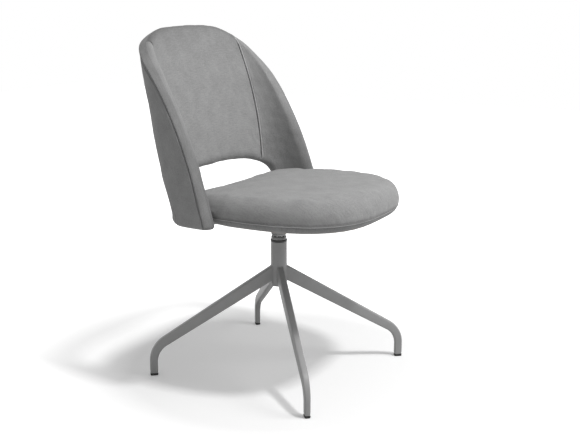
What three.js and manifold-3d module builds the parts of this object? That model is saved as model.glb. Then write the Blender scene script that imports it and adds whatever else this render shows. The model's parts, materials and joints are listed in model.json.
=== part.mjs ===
// Swivel dining chair: an upholstered bucket back with a window above a round
// padded seat, turning on a ball race over four bent steel legs.
// Millimetres, +Z up. The sitter faces -Y and the floor is the plane z = 0.
import * as THREE from 'three';
import { mergeVertices } from 'three/addons/utils/BufferGeometryUtils.js';
import Module from 'manifold-3d';

const wasm = await Module();
wasm.setup();

// Fits
const clearance = 0.3;
const overrun = 6;

// Legs: tapered tubes that slope down from the column and bend to the floor
const legCount = 4;
const legTurnDeg = 3.25;
const legReach = 322;
const legWidth = 18;
const legDepthAtColumn = 34;
const legDepthAtBend = 25.5;
const legDepthAtFoot = 20.5;
const legWall = 2;
const legCornerRadius = 4;
const legCornerHeight = 74.6;
const legBendRadius = 60;

// Glides: plastic feet pressed into the legs
const glideHeight = 6;
const glideChamfer = 1;
const glidePlugLength = 18;

// Column, whose levels are shares of the seat's height
const columnRadius = 19.5;
const columnWall = 3;
const junctionShare = 0.6036;
const columnTopShare = 0.8056;
const columnSkirt = 10;
const columnCapThickness = 2;
const columnCapInset = 1;
const columnCapWall = 1.6;
const columnCapPlugLength = 4;

// Spindle and the bushes that it turns in
const spindleRadius = 10;
const bushShare = 0.265;
const bushFlangeThickness = 5.4;
const bushFlangeProud = 0.5;
const runningGap = 0.3;
const circlipThickness = 1.4;
const circlipReach = 3;
const circlipGrooveDepth = 0.8;
const circlipGapDeg = 50;
const washerThickness = 2;
const washerRadius = 15;

// Ball race between the column and the hub
const raceRadius = 17.8;
const raceLowerThickness = 7.6;
const raceUpperThickness = 4.6;
const ballCount = 10;
const ballRadius = 2.4;
const ballRingRadius = 14.8;
const ballShowing = 2.8;
const cageThickness = 1.6;
const cageRim = 2.2;

// Hub under the seat
const hubRadius = 19.5;
const hubTopRadius = 21;
const hubWall = 3;

// Seat: plywood pan, fabric border and crowned cushion
const seatBottomHeight = 413;
const seatHalfWidth = 242;
const seatFrontReach = 292;
const seatRearReach = 155;
const seatFrontSquareness = 2.8;
const seatRearSquareness = 5;
const seatSideGap = 5.4;
const neckBlend = 20;
const seamHeight = 24;
const cushionRise = 53.5;
const cushionCrown = 6;
const cushionRoll = 39.7;
const cushionRollFullness = 0.9;
const cushionTiltShare = 0.01;
const cushionRearDrop = 32;
const cushionDropReach = 200;
const cushionBottomInset = 30;
const borderInset = 6;
const borderBellyHeight = 12;
const borderTuckInset = 25;
const borderTuckHeight = 4;
const borderHemInset = 45;
const borderHemThickness = 0.9;
const panInset = 24;
const panThickness = 12;
const dustCoverInset = 40;
const dustCoverThickness = 0.8;

// Back shell, given on the middle surface of its padding
const shellThickness = 37.7;
const shellLowRise = 108;
const shellHighRise = 388;
const shellLowSplay = 10;
const shellHighSplay = -1;
const shellRearLow = 198;
const shellRearHigh = 261;
const shellDepth = 180;
const shellSquareness = 4.3;
const wingDrop = 1;
const rimRise = 447;
const rimHalfAngleDeg = 83;
const rimAngleSquareness = 4;
const rimRiseSquareness = 1.59;
const windowRise = 102;
const windowHalfAngleDeg = 58;
const windowAngleSquareness = 2.25;
const windowRiseSquareness = 4.9;
const seamRimAngleDeg = 52;
const seamWindowAngleDeg = 53;
const noseRun = 22;
const rimWrap = 30;
const windowWrap = 24;
const coreThickness = 9;
const coreInset = 16;
const coreEndRise = 3;

// Mounting plate and the two straps that carry the wings
const plateWidth = 180;
const plateThickness = 4;
const plateCornerRadius = 14;
const plateBoltSpacing = 140;
const strapWidth = 30;
const strapThickness = 4;
const strapBendRadius = 7;
const strapAngleDeg = 71;
const strapCoreGap = 1.8;
const strapRise = 66;
const strapPlateGap = 12;
const strapScrewInset = 12;
const strapScrewShare = 0.358;
const strapBoltRise = 27;
const strapBoltSpacing = 24;

// Fasteners
const boltRadius = 3;
const boltHeadRadius = 5.5;
const boltHeadHeight = 3;
const boltSocketRadius = 2.3;
const boltSocketDepth = 1.8;
const nutFlangeRadius = 8;
const nutFlangeThickness = 1.2;
const nutBarrelWall = 1.2;
const nutBarrelLength = 7;
const screwRadius = 2;
const screwHeadRadius = 4.2;
const screwHeadHeight = 2.2;
const screwLength = 15;

// Facet counts
const tubeFacets = 24;
const fastenerFacets = 8;
const ballFacets = 6;
const ballRings = 4;
const grooveSteps = 3;
const cornerSteps = 2;
const bendSteps = 5;
const strapBendSteps = 4;
const noseSteps = 3;
const faceSteps = 5;
const wingRows = 10;
const centreRows = 6;
const edgeSamples = 600;
const seatFacets = 52;
const rollSteps = 6;
const crownShares = [0.8, 0.6, 0.4, 0.22, 0.08];

// Levels and places that follow from the sizes above
const rad = THREE.MathUtils.degToRad;
const junctionHeight = seatBottomHeight * junctionShare;
const legSlope = Math.atan2(junctionHeight - legCornerHeight, legReach - columnRadius);
const legHalfRise = legDepthAtColumn / 2 / Math.cos(legSlope);
const columnBottom = junctionHeight - legHalfRise - columnSkirt;
const columnTop = seatBottomHeight * columnTopShare;
const bushLength = bushShare * (columnTop - columnBottom);
const columnBore = columnRadius - columnWall;
const bushTop = columnTop + clearance + bushFlangeThickness;
const lowerRaceBottom = bushTop + clearance;
const lowerRaceTop = lowerRaceBottom + raceLowerThickness;
const ballHeight = lowerRaceTop + ballShowing / 2;
const upperRaceBottom = lowerRaceTop + ballShowing;
const upperRaceTop = upperRaceBottom + raceUpperThickness;
const circlipBottom = columnBottom + columnCapPlugLength + clearance;
const spindleBottom = circlipBottom - circlipThickness;
const washerBottom = circlipBottom + circlipThickness + clearance;
const lowerBushBottom = washerBottom + washerThickness + clearance;
const dustCoverBottom = seatBottomHeight - clearance - dustCoverThickness;
const plateTop = dustCoverBottom - clearance;
const plateBottom = plateTop - plateThickness;
const panBottom = seatBottomHeight + borderHemThickness + clearance;
const panTop = panBottom + panThickness;
const seamLevel = seatBottomHeight + seamHeight;
const wingBottom = seatBottomHeight - wingDrop;
const coreHalf = coreThickness / 2;
const padHalf = shellThickness / 2;

// Materials
function material(color, roughness, metalness) {
  return new THREE.MeshStandardMaterial({ color, roughness, metalness });
}
const fabric = material(0x9b9b99, 0.95, 0);
const darkFabric = material(0x3a3a3a, 0.95, 0);
const paintedSteel = material(0x6e6f70, 0.5, 0.4);
const brightSteel = material(0xd8d8d8, 0.2, 1);
const zincSteel = material(0xb0b2b4, 0.4, 0.9);
const blackPlastic = material(0x141414, 0.5, 0);
const plywood = material(0xc9a877, 0.8, 0);

const chair = new THREE.Group();

function add(name, geometry, look) {
  const mesh = new THREE.Mesh(clean(geometry), look);
  mesh.name = name;
  chair.add(mesh);
  return mesh;
}

function clean(geometry) {
  const bare = geometry.clone();
  bare.deleteAttribute('normal');
  bare.deleteAttribute('uv');
  const merged = mergeVertices(bare);
  merged.computeVertexNormals();
  return merged;
}

function toSolid(geometry) {
  const merged = clean(geometry);
  return new wasm.Manifold(new wasm.Mesh({
    numProp: 3,
    vertProperties: Float32Array.from(merged.attributes.position.array),
    triVerts: Uint32Array.from(merged.index.array),
  }));
}

function toGeometry(solid) {
  const mesh = solid.getMesh();
  const geometry = new THREE.BufferGeometry();
  geometry.setAttribute('position', new THREE.BufferAttribute(mesh.vertProperties, 3));
  geometry.setIndex(new THREE.BufferAttribute(mesh.triVerts, 1));
  return geometry;
}

function cut(geometry, cutters) {
  return toGeometry(cutters.reduce((solid, cutter) => solid.subtract(toSolid(cutter)), toSolid(geometry)));
}

function join(geometries) {
  return toGeometry(geometries.map(toSolid).reduce((solid, other) => solid.add(other)));
}

// A closed solid through rings of equally many points. Open ends are capped;
// with `closed`, the last ring meets the first. Each quad is split along its
// shorter diagonal, so faces that lie against each other are split alike.
function skin(rings, closed = false) {
  const count = rings[0].length;
  const points = rings.flat();
  const spans = closed ? rings.length : rings.length - 1;
  const index = [];
  for (let row = 0; row < spans; row += 1) {
    const here = row * count;
    const next = ((row + 1) % rings.length) * count;
    for (let i = 0; i < count; i += 1) {
      const j = (i + 1) % count;
      const leaning = points[here + i].distanceTo(points[next + j]);
      if (leaning <= points[here + j].distanceTo(points[next + i])) {
        index.push(here + i, here + j, next + j, here + i, next + j, next + i);
      } else {
        index.push(here + i, here + j, next + i, here + j, next + j, next + i);
      }
    }
  }
  if (!closed) {
    const last = (rings.length - 1) * count;
    for (const [a, b, c] of capFaces(rings[0])) index.push(a, c, b);
    for (const [a, b, c] of capFaces(rings[rings.length - 1])) index.push(last + a, last + b, last + c);
  }
  const geometry = new THREE.BufferGeometry();
  const flat = points.flatMap((point) => point.toArray());
  geometry.setAttribute('position', new THREE.Float32BufferAttribute(flat, 3));
  geometry.setIndex(index);
  return faceOutwards(geometry);
}

// Triangles across a flat ring, turning the same way as its points
function capFaces(ring) {
  const normal = new THREE.Vector3();
  ring.forEach((point, i) => {
    const next = ring[(i + 1) % ring.length];
    normal.add(new THREE.Vector3().crossVectors(point.clone().sub(ring[0]), next.clone().sub(ring[0])));
  });
  normal.normalize();
  const across = ring[1].clone().sub(ring[0]).projectOnPlane(normal).normalize();
  const up = new THREE.Vector3().crossVectors(normal, across);
  const outline = ring.map((point) => new THREE.Vector2(point.dot(across), point.dot(up)));
  return THREE.ShapeUtils.triangulateShape(outline, []).map(([a, b, c]) => {
    const ab = outline[b].clone().sub(outline[a]);
    const ac = outline[c].clone().sub(outline[a]);
    return ab.cross(ac) > 0 ? [a, b, c] : [a, c, b];
  });
}

function faceOutwards(geometry) {
  const position = geometry.attributes.position;
  const corners = [new THREE.Vector3(), new THREE.Vector3(), new THREE.Vector3()];
  let volume = 0;
  for (let i = 0; i < geometry.index.count; i += 3) {
    corners.forEach((corner, k) => corner.fromBufferAttribute(position, geometry.index.getX(i + k)));
    volume += corners[0].dot(corners[1].clone().cross(corners[2]));
  }
  if (volume < 0) geometry.setIndex(Array.from(geometry.index.array).reverse());
  return geometry;
}

// Turned pieces: a profile of [radius, height] pairs about the z axis
function turned(profile, facets = tubeFacets) {
  const points = profile.map(([radius, height]) => new THREE.Vector2(radius, height));
  if (profile[0][0] > 0) points.push(points[0].clone());
  return faceOutwards(clean(new THREE.LatheGeometry(points, facets).rotateX(Math.PI / 2)));
}

function tubePiece(inner, outer, bottom, top) {
  return turned([[inner, bottom], [outer, bottom], [outer, top], [inner, top]]);
}

function rod(radius, bottom, top, facets = tubeFacets) {
  return turned([[0, bottom], [radius, bottom], [radius, top], [0, top]], facets);
}

// Points of a line that runs from start to end and rounds its corner
function bentLine(start, corner, end, radius, steps) {
  const before = start.clone().sub(corner).normalize();
  const after = end.clone().sub(corner).normalize();
  const half = before.angleTo(after) / 2;
  const middle = before.clone().add(after).normalize();
  const centre = corner.clone().addScaledVector(middle, radius / Math.sin(half));
  const from = corner.clone().addScaledVector(before, radius / Math.tan(half)).sub(centre);
  const to = corner.clone().addScaledVector(after, radius / Math.tan(half)).sub(centre);
  const axis = new THREE.Vector3().crossVectors(from, to).normalize();
  const points = [start];
  for (let i = 0; i <= steps; i += 1) {
    points.push(from.clone().applyAxisAngle(axis, from.angleTo(to) * i / steps).add(centre));
  }
  points.push(end);
  return points;
}

function runOf(points) {
  const lengths = [0];
  points.slice(1).forEach((point, i) => lengths.push(lengths[i] + point.distanceTo(points[i])));
  return lengths;
}

function directionAt(points, i) {
  const before = points[Math.max(i - 1, 0)];
  const after = points[Math.min(i + 1, points.length - 1)];
  return after.clone().sub(before).normalize();
}

// A rectangle with round corners, as [across, along] pairs
function roundedRectangle(width, depth, radius) {
  const points = [];
  for (let corner = 0; corner < 4; corner += 1) {
    const centreX = (corner === 0 || corner === 3 ? 1 : -1) * (width / 2 - radius);
    const centreY = (corner < 2 ? 1 : -1) * (depth / 2 - radius);
    for (let step = 0; step <= cornerSteps; step += 1) {
      const angle = (corner + step / cornerSteps) * Math.PI / 2;
      points.push([centreX + radius * Math.cos(angle), centreY + radius * Math.sin(angle)]);
    }
  }
  return points;
}

// Legs and glides
function legLine() {
  const start = new THREE.Vector3(0, 0, legCornerHeight + legReach * Math.tan(legSlope));
  const corner = new THREE.Vector3(legReach, 0, legCornerHeight);
  const foot = new THREE.Vector3(legReach, 0, glideHeight + clearance);
  return bentLine(start, corner, foot, legBendRadius, bendSteps);
}

function legRings(inset) {
  const line = legLine();
  const run = runOf(line);
  const bendRun = run[1];
  const footRun = run[run.length - 2];
  return line.map((point, i) => {
    const taper = Math.min(run[i] / bendRun, 1);
    const footTaper = THREE.MathUtils.clamp((run[i] - bendRun) / (footRun - bendRun), 0, 1);
    const toBend = THREE.MathUtils.lerp(legDepthAtColumn, legDepthAtBend, taper);
    const depth = THREE.MathUtils.lerp(toBend, legDepthAtFoot, footTaper);
    const along = directionAt(line, i);
    if (i === 0) along.copy(line[1]).sub(line[0]).normalize();
    if (i === line.length - 1) along.set(0, 0, -1);
    const upward = new THREE.Vector3(0, 1, 0).cross(along).negate();
    const section = roundedRectangle(legWidth - 2 * inset, depth - 2 * inset, legCornerRadius - inset);
    return section.map(([across, up]) => point.clone().addScaledVector(upward, up)
      .add(new THREE.Vector3(0, across, 0)));
  });
}

function legGeometry() {
  const tube = skin([...legRings(0), ...legRings(legWall).reverse()], true);
  const columnSpace = rod(columnRadius + clearance, columnBottom - overrun, columnTop + overrun);
  return cut(tube, [columnSpace]);
}

function glideGeometry() {
  const plugInset = legWall + clearance;
  const ringAt = (inset, height) => roundedRectangle(
    legDepthAtFoot - 2 * inset,
    legWidth - 2 * inset,
    legCornerRadius - inset,
  ).map(([x, y]) => new THREE.Vector3(legReach + x, y, height));
  return skin([
    ringAt(glideChamfer, 0),
    ringAt(0, glideChamfer),
    ringAt(0, glideHeight),
    ringAt(plugInset, glideHeight),
    ringAt(plugInset, glideHeight + glidePlugLength),
  ]);
}

const cornerNames = ['rear_left', 'rear_right', 'front_right', 'front_left'];
for (let i = 0; i < legCount; i += 1) {
  const turn = 2 * Math.PI * (i + 0.5) / legCount - rad(legTurnDeg);
  const leg = add(`leg_${cornerNames[i]}`, legGeometry(), paintedSteel);
  const glide = add(`glide_${cornerNames[i]}`, glideGeometry(), blackPlastic);
  leg.rotation.z = turn;
  glide.rotation.z = turn;
}

// Column, bushes, spindle and race
add('column', tubePiece(columnBore, columnRadius, columnBottom, columnTop), paintedSteel);

function columnCapGeometry() {
  const plug = columnBore - clearance;
  const flange = columnRadius - columnCapInset;
  const top = columnBottom - clearance;
  const bottom = top - columnCapThickness;
  const plugTop = columnBottom + columnCapPlugLength;
  const hollow = plug - columnCapWall;
  return turned([[0, bottom], [flange, bottom], [flange, top], [plug, top], [plug, plugTop],
    [hollow, plugTop], [hollow, top], [0, top]]);
}
add('column_cap', columnCapGeometry(), blackPlastic);

const bushBore = spindleRadius + runningGap;
const bushRadius = columnBore - clearance;
const bushFlangeRadius = columnRadius + bushFlangeProud;
const flangeBottom = columnTop + clearance;
add('upper_bush', turned([[bushBore, flangeBottom - bushLength], [bushRadius, flangeBottom - bushLength],
  [bushRadius, flangeBottom], [bushFlangeRadius, flangeBottom], [bushFlangeRadius, bushTop],
  [bushBore, bushTop]]), blackPlastic);
add('lower_bush', tubePiece(bushBore, bushRadius, lowerBushBottom, lowerBushBottom + bushLength), blackPlastic);
add('retaining_washer', tubePiece(bushBore, washerRadius, washerBottom, washerBottom + washerThickness), zincSteel);

function circlipGeometry() {
  const outer = spindleRadius + circlipReach;
  const inner = spindleRadius - circlipGrooveDepth + clearance;
  const ring = tubePiece(inner, outer, circlipBottom, circlipBottom + circlipThickness);
  const half = rad(circlipGapDeg) / 2;
  const reach = outer + overrun;
  const wedge = new THREE.Shape([new THREE.Vector2(0, 0),
    new THREE.Vector2(reach * Math.cos(half), -reach * Math.sin(half)),
    new THREE.Vector2(reach * Math.cos(half), reach * Math.sin(half))]);
  const height = circlipThickness + 2 * overrun;
  const gap = new THREE.ExtrudeGeometry(wedge, { depth: height, bevelEnabled: false });
  return cut(ring, [gap.translate(0, 0, circlipBottom - overrun)]);
}
add('circlip', circlipGeometry(), zincSteel);

function spindleGeometry() {
  const groove = spindleRadius - circlipGrooveDepth;
  const grooveBottom = circlipBottom - clearance;
  const grooveTop = circlipBottom + circlipThickness + clearance;
  return turned([[0, spindleBottom], [spindleRadius, spindleBottom], [spindleRadius, grooveBottom],
    [groove, grooveBottom], [groove, grooveTop], [spindleRadius, grooveTop],
    [spindleRadius, plateTop], [0, plateTop]]);
}
add('spindle', spindleGeometry(), brightSteel);

// The ball groove of a race, as profile points from the bore side outwards
function groovePoints(level) {
  const radius = ballRadius + clearance;
  const halfWidth = Math.sqrt(radius ** 2 - (level - ballHeight) ** 2);
  const half = Math.asin(halfWidth / radius);
  const side = Math.sign(level - ballHeight);
  const points = [];
  for (let i = 0; i <= grooveSteps; i += 1) {
    const angle = -half + 2 * half * i / grooveSteps;
    points.push([ballRingRadius + radius * Math.sin(angle), ballHeight + side * radius * Math.cos(angle)]);
  }
  return points;
}
add('lower_race', turned([[bushBore, lowerRaceTop], ...groovePoints(lowerRaceTop), [raceRadius, lowerRaceTop],
  [raceRadius, lowerRaceBottom], [bushBore, lowerRaceBottom]]), brightSteel);
add('upper_race', turned([[bushBore, upperRaceBottom], ...groovePoints(upperRaceBottom),
  [raceRadius, upperRaceBottom], [raceRadius, upperRaceTop], [bushBore, upperRaceTop]]), brightSteel);

function ballCageGeometry() {
  const inner = ballRingRadius - cageRim;
  const outer = ballRingRadius + cageRim;
  const ring = tubePiece(inner, outer, ballHeight - cageThickness / 2, ballHeight + cageThickness / 2);
  const balls = [];
  for (let i = 0; i < ballCount; i += 1) {
    const angle = 2 * Math.PI * i / ballCount;
    const ball = new THREE.SphereGeometry(ballRadius, ballFacets, ballRings).rotateX(Math.PI / 2);
    balls.push(ball.translate(ballRingRadius, 0, ballHeight).rotateZ(angle));
  }
  return join([ring, ...balls]);
}
add('ball_cage', ballCageGeometry(), brightSteel);

const hubBottom = upperRaceTop + clearance;
const hubTop = plateBottom - clearance;
add('hub_tube', turned([[hubRadius - hubWall, hubBottom], [hubRadius, hubBottom], [hubTopRadius, hubTop],
  [hubTopRadius - hubWall, hubTop]]), paintedSteel);

// Plan of the back shell: a superellipse whose width and depth change with height
function shellLevel(height) {
  const rise = (height - wingBottom - shellLowRise) / (shellHighRise - shellLowRise);
  return {
    halfWidth: seatHalfWidth + THREE.MathUtils.lerp(shellLowSplay, shellHighSplay, rise),
    centre: THREE.MathUtils.lerp(shellRearLow, shellRearHigh, rise) - shellDepth,
  };
}

function planRadius(angle, halfWidth) {
  const side = Math.abs(Math.sin(angle)) / halfWidth;
  const rear = Math.abs(Math.cos(angle)) / shellDepth;
  return (side ** shellSquareness + rear ** shellSquareness) ** (-1 / shellSquareness);
}

// The point of the middle surface at an angle from the rear median, and a height
function shellPoint(angle, height) {
  const level = shellLevel(height);
  const radius = planRadius(angle, level.halfWidth);
  return new THREE.Vector3(radius * Math.sin(angle), level.centre + radius * Math.cos(angle), height);
}

function shellNormal(angle, height) {
  const angleStep = 1e-3;
  const heightStep = shellThickness * angleStep;
  const across = shellPoint(angle + angleStep, height).sub(shellPoint(angle - angleStep, height));
  const upward = shellPoint(angle, height + heightStep).sub(shellPoint(angle, height - heightStep));
  return upward.cross(across).normalize();
}

// Edge curves from a wing's bottom to the median, sampled as [angle, height]
function edgeCurve(halfAngleDeg, rise, angleSquareness, riseSquareness, seamDeg) {
  const samples = [];
  for (let i = 0; i <= edgeSamples; i += 1) {
    const turn = Math.PI / 2 * i / edgeSamples;
    const angle = rad(halfAngleDeg) * Math.max(Math.cos(turn), 0) ** (2 / angleSquareness);
    samples.push([angle, wingBottom + rise * Math.sin(turn) ** (2 / riseSquareness)]);
  }
  samples[edgeSamples][0] = 0;
  const run = runOf(samples.map(([angle, height]) => shellPoint(angle, height)));
  const seamIndex = samples.findIndex(([angle]) => angle <= rad(seamDeg));
  return { samples, run, seamRun: run[seamIndex] };
}

const rimCurve = edgeCurve(rimHalfAngleDeg, rimRise, rimAngleSquareness, rimRiseSquareness, seamRimAngleDeg);
const windowCurve = edgeCurve(
  windowHalfAngleDeg,
  windowRise,
  windowAngleSquareness,
  windowRiseSquareness,
  seamWindowAngleDeg,
);

function between(list, run, distance) {
  let i = run.findIndex((length) => length >= distance);
  if (i < 0) i = run.length - 1;
  if (i === 0) return list[0];
  const share = (distance - run[i - 1]) / (run[i] - run[i - 1]);
  return list[i].map((value, k) => THREE.MathUtils.lerp(list[i - 1][k], value, share));
}

// A row crosses the shell from its window edge to its rim. Row 0 is the bottom
// of a wing, row wingRows the seam beside the back, the last one the median.
const halfRows = wingRows + centreRows;
function shellRow(place, side) {
  const ends = [windowCurve, rimCurve].map((curve) => {
    const total = curve.run[edgeSamples];
    const distance = place <= wingRows
      ? curve.seamRun * place / wingRows
      : curve.seamRun + (total - curve.seamRun) * (place - wingRows) / centreRows;
    return between(curve.samples, curve.run, distance);
  });
  const samples = [];
  const steps = 24;
  for (let i = 0; i <= steps; i += 1) {
    samples.push([0, 1].map((k) => THREE.MathUtils.lerp(ends[0][k], ends[1][k], i / steps)));
  }
  const run = runOf(samples.map(([angle, height]) => shellPoint(angle, height)));
  const pointAt = (distance, offset) => {
    const [angle, height] = between(samples, run, distance);
    return shellPoint(side * angle, height).addScaledVector(shellNormal(side * angle, height), offset);
  };
  return { length: run[steps], pointAt };
}

// Rows from one wing's bottom over the median to the other's
function shellRows(first) {
  const rows = [];
  for (let i = 0; i < halfRows; i += 1) rows.push(shellRow(i === 0 ? first : i, -1));
  for (let i = halfRows; i >= 0; i -= 1) rows.push(shellRow(i === 0 ? first : i, 1));
  return rows;
}

function shellSolid(first, sectionOf) {
  return skin(shellRows(first).map((row) => sectionOf(row.length)
    .map(([distance, offset]) => row.pointAt(distance, offset))));
}

// A straight run of section points at one offset, without its ends
function runBetween(from, to, offset) {
  const points = [];
  for (let i = 1; i < faceSteps; i += 1) {
    points.push([THREE.MathUtils.lerp(from, to, i / faceSteps), offset]);
  }
  return points;
}

// The rounded edge of the padding, from the outer face round to the inner one
function nosePoints() {
  const points = [];
  for (let i = -noseSteps; i <= noseSteps; i += 1) {
    const turn = Math.PI / 2 * i / noseSteps;
    points.push([noseRun * (1 - Math.cos(turn)), -padHalf * Math.sin(turn)]);
  }
  return points;
}

function padSection(length) {
  const bed = coreHalf + clearance;
  const pocket = coreInset - clearance;
  const rimNose = nosePoints().map(([distance, offset]) => [length - distance, offset]).reverse();
  return [
    [windowWrap, padHalf],
    ...nosePoints(),
    ...runBetween(noseRun, length - noseRun, -padHalf),
    ...rimNose,
    [length - rimWrap, padHalf],
    [length - rimWrap, bed],
    [length - pocket, bed],
    [length - pocket, -bed],
    ...runBetween(length - pocket, pocket, -bed),
    [pocket, -bed],
    [pocket, bed],
    [windowWrap, bed],
  ];
}

function coreSection(length) {
  const far = length - coreInset;
  return [
    [coreInset, coreHalf],
    [coreInset, -coreHalf],
    ...runBetween(coreInset, far, -coreHalf),
    [far, -coreHalf],
    [far, coreHalf],
    ...runBetween(far, coreInset, coreHalf),
  ];
}

function coverSection(length) {
  const near = windowWrap + clearance;
  const far = length - rimWrap - clearance;
  const bed = coreHalf + clearance;
  return [
    [near, padHalf],
    [near, bed],
    ...runBetween(near, far, bed),
    [far, bed],
    [far, padHalf],
    ...runBetween(far, near, padHalf),
  ];
}

// Fasteners stand along +z: the head's seat is at 0 and the head below it
function boltGeometry(length) {
  const crown = boltHeadHeight / 2;
  const body = turned([[0, -boltHeadHeight], [boltHeadRadius - crown, -boltHeadHeight],
    [boltHeadRadius, -crown], [boltHeadRadius, 0], [boltRadius, 0], [boltRadius, length], [0, length]],
  fastenerFacets);
  return cut(body, [rod(boltSocketRadius, -boltHeadHeight - overrun, boltSocketDepth - boltHeadHeight, 6)]);
}

// The flange of a tee nut lies at 0 and its barrel reaches down from it
const nutBore = boltRadius + clearance;
const nutBarrelRadius = nutBore + nutBarrelWall;
function teeNutGeometry() {
  return turned([[nutBore, -nutBarrelLength], [nutBarrelRadius, -nutBarrelLength],
    [nutBarrelRadius, -nutFlangeThickness], [nutFlangeRadius, -nutFlangeThickness], [nutFlangeRadius, 0],
    [nutBore, 0]], fastenerFacets);
}

// The space that a tee nut and its bolt need in a board of a given thickness
function teeNutSpaces(thickness) {
  return [
    rod(nutBarrelRadius + clearance, -thickness - overrun, overrun, fastenerFacets),
    rod(nutFlangeRadius + clearance, -nutFlangeThickness - clearance, overrun, fastenerFacets),
  ];
}

function screwGeometry() {
  const tip = screwLength - screwRadius;
  return turned([[0, -screwHeadHeight], [screwHeadRadius, -screwHeadHeight / 2], [screwHeadRadius, 0],
    [screwRadius, 0], [screwRadius, tip], [0, screwLength]], fastenerFacets);
}

function placed(geometry, matrix) {
  return geometry.clone().applyMatrix4(matrix);
}

// Seat outline at an angle, where it sits between the wings held clear of them
const wingLevel = shellLevel(wingBottom);
const wingFront = shellPoint(rad(rimHalfAngleDeg), wingBottom).y;
function seatOutline(angle) {
  const forward = -Math.sin(angle);
  const across = Math.cos(angle);
  const ahead = forward >= 0;
  const reach = ahead ? seatFrontReach : seatRearReach;
  const power = ahead ? seatFrontSquareness : seatRearSquareness;
  const radius = (Math.abs(forward / reach) ** power + Math.abs(across / seatHalfWidth) ** power) ** (-1 / power);
  const free = new THREE.Vector2(radius * across, -radius * forward);
  const fromCentre = free.clone().sub(new THREE.Vector2(0, wingLevel.centre));
  const planAngle = Math.atan2(Math.abs(fromCentre.x), fromCentre.y);
  const limit = planRadius(planAngle, wingLevel.halfWidth) - padHalf - seatSideGap;
  const held = fromCentre.clone().setLength(Math.min(limit, fromCentre.length()));
  held.y += wingLevel.centre;
  const blend = THREE.MathUtils.smoothstep(free.y, wingFront - neckBlend, wingFront + neckBlend);
  return free.lerp(held, blend);
}

function seatRing(inset, height) {
  const points = [];
  for (let i = 0; i < seatFacets; i += 1) {
    const edge = seatOutline(2 * Math.PI * i / seatFacets);
    edge.setLength(edge.length() - inset);
    points.push(new THREE.Vector3(edge.x, edge.y, height));
  }
  return points;
}

// The top rises a little to the front and falls away towards the rear edge
function dressed(point) {
  const up = THREE.MathUtils.clamp((point.z - seamLevel) / cushionRise, 0, 1);
  const behind = THREE.MathUtils.clamp(point.y / cushionDropReach, 0, 1);
  point.z += up * (-cushionTiltShare * point.y - cushionRearDrop * behind ** 2);
  return point;
}

function cushionGeometry() {
  const bottom = panTop + clearance;
  const seat = seamLevel + clearance;
  const wall = cushionRise - cushionCrown;
  const rings = [
    seatRing(cushionBottomInset, bottom),
    seatRing(cushionBottomInset, seat),
    seatRing(borderInset, seat),
  ];
  for (let i = 1; i <= rollSteps; i += 1) {
    const turn = Math.PI / 2 * i / rollSteps;
    const height = seamLevel + wall * Math.sin(turn) ** cushionRollFullness;
    rings.push(seatRing(cushionRoll * (1 - Math.cos(turn)), height).map(dressed));
  }
  for (const share of crownShares) {
    const height = seamLevel + wall + cushionCrown * (1 - share ** 2);
    const ring = seatRing(cushionRoll, height);
    rings.push(ring.map((point) => dressed(point.multiply(new THREE.Vector3(share, share, 1)))));
  }
  return skin(rings);
}
add('seat_cushion', cushionGeometry(), fabric);

function borderGeometry() {
  const hemTop = seatBottomHeight + borderHemThickness;
  const panEdge = panInset - clearance;
  return skin([
    seatRing(borderInset, seamLevel),
    seatRing(borderInset, seatBottomHeight + borderBellyHeight),
    seatRing((borderInset + borderTuckInset) / 2, seatBottomHeight + borderTuckHeight),
    seatRing(borderTuckInset, seatBottomHeight),
    seatRing(borderHemInset, seatBottomHeight),
    seatRing(borderHemInset, hemTop),
    seatRing(panEdge, hemTop),
    seatRing(panEdge, seamLevel),
  ], true);
}
add('seat_border', borderGeometry(), fabric);

// Places of the bolts through the mounting plate
const plateBoltPlaces = [];
for (const x of [-1, 1]) {
  for (const y of [-1, 1]) {
    plateBoltPlaces.push(new THREE.Vector3(x * plateBoltSpacing / 2, y * plateBoltSpacing / 2, 0));
  }
}

// A wing strap's frame: x outwards along the plan normal, y along the wing
const strapInnerReach = plateWidth / 2 + strapPlateGap;
const strapScrewSpacing = strapScrewShare * (seatHalfWidth - borderHemInset - strapInnerReach);
function strapFrame(side) {
  const angle = side * rad(strapAngleDeg);
  const level = wingBottom + strapBoltRise;
  const foot = shellPoint(angle, level);
  const normal = shellNormal(angle, level);
  const outward = new THREE.Vector3(normal.x, normal.y, 0).normalize();
  const along = new THREE.Vector3(0, 0, 1).cross(outward);
  const matrix = new THREE.Matrix4().makeBasis(outward, along, new THREE.Vector3(0, 0, 1));
  matrix.setPosition(foot.x, foot.y, 0);
  const tilt = Math.atan2(normal.z, Math.hypot(normal.x, normal.y));
  const innerEnd = -(Math.abs(foot.x) - strapInnerReach) / Math.abs(outward.x);
  return { matrix, level, tilt, innerEnd };
}

// Centre line of a strap in its frame: in under the seat, up inside the wing
const strapOffset = coreHalf + strapCoreGap + strapThickness / 2;
function strapLine(frame) {
  const middle = plateTop - strapThickness / 2;
  const { level, tilt } = frame;
  const xAt = (height) => (level - height) * Math.tan(tilt) - strapOffset / Math.cos(tilt);
  const top = plateBottom + strapRise;
  return {
    xAt,
    start: new THREE.Vector3(frame.innerEnd, 0, middle),
    corner: new THREE.Vector3(xAt(middle), 0, middle),
    end: new THREE.Vector3(xAt(top), 0, top),
  };
}

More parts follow.
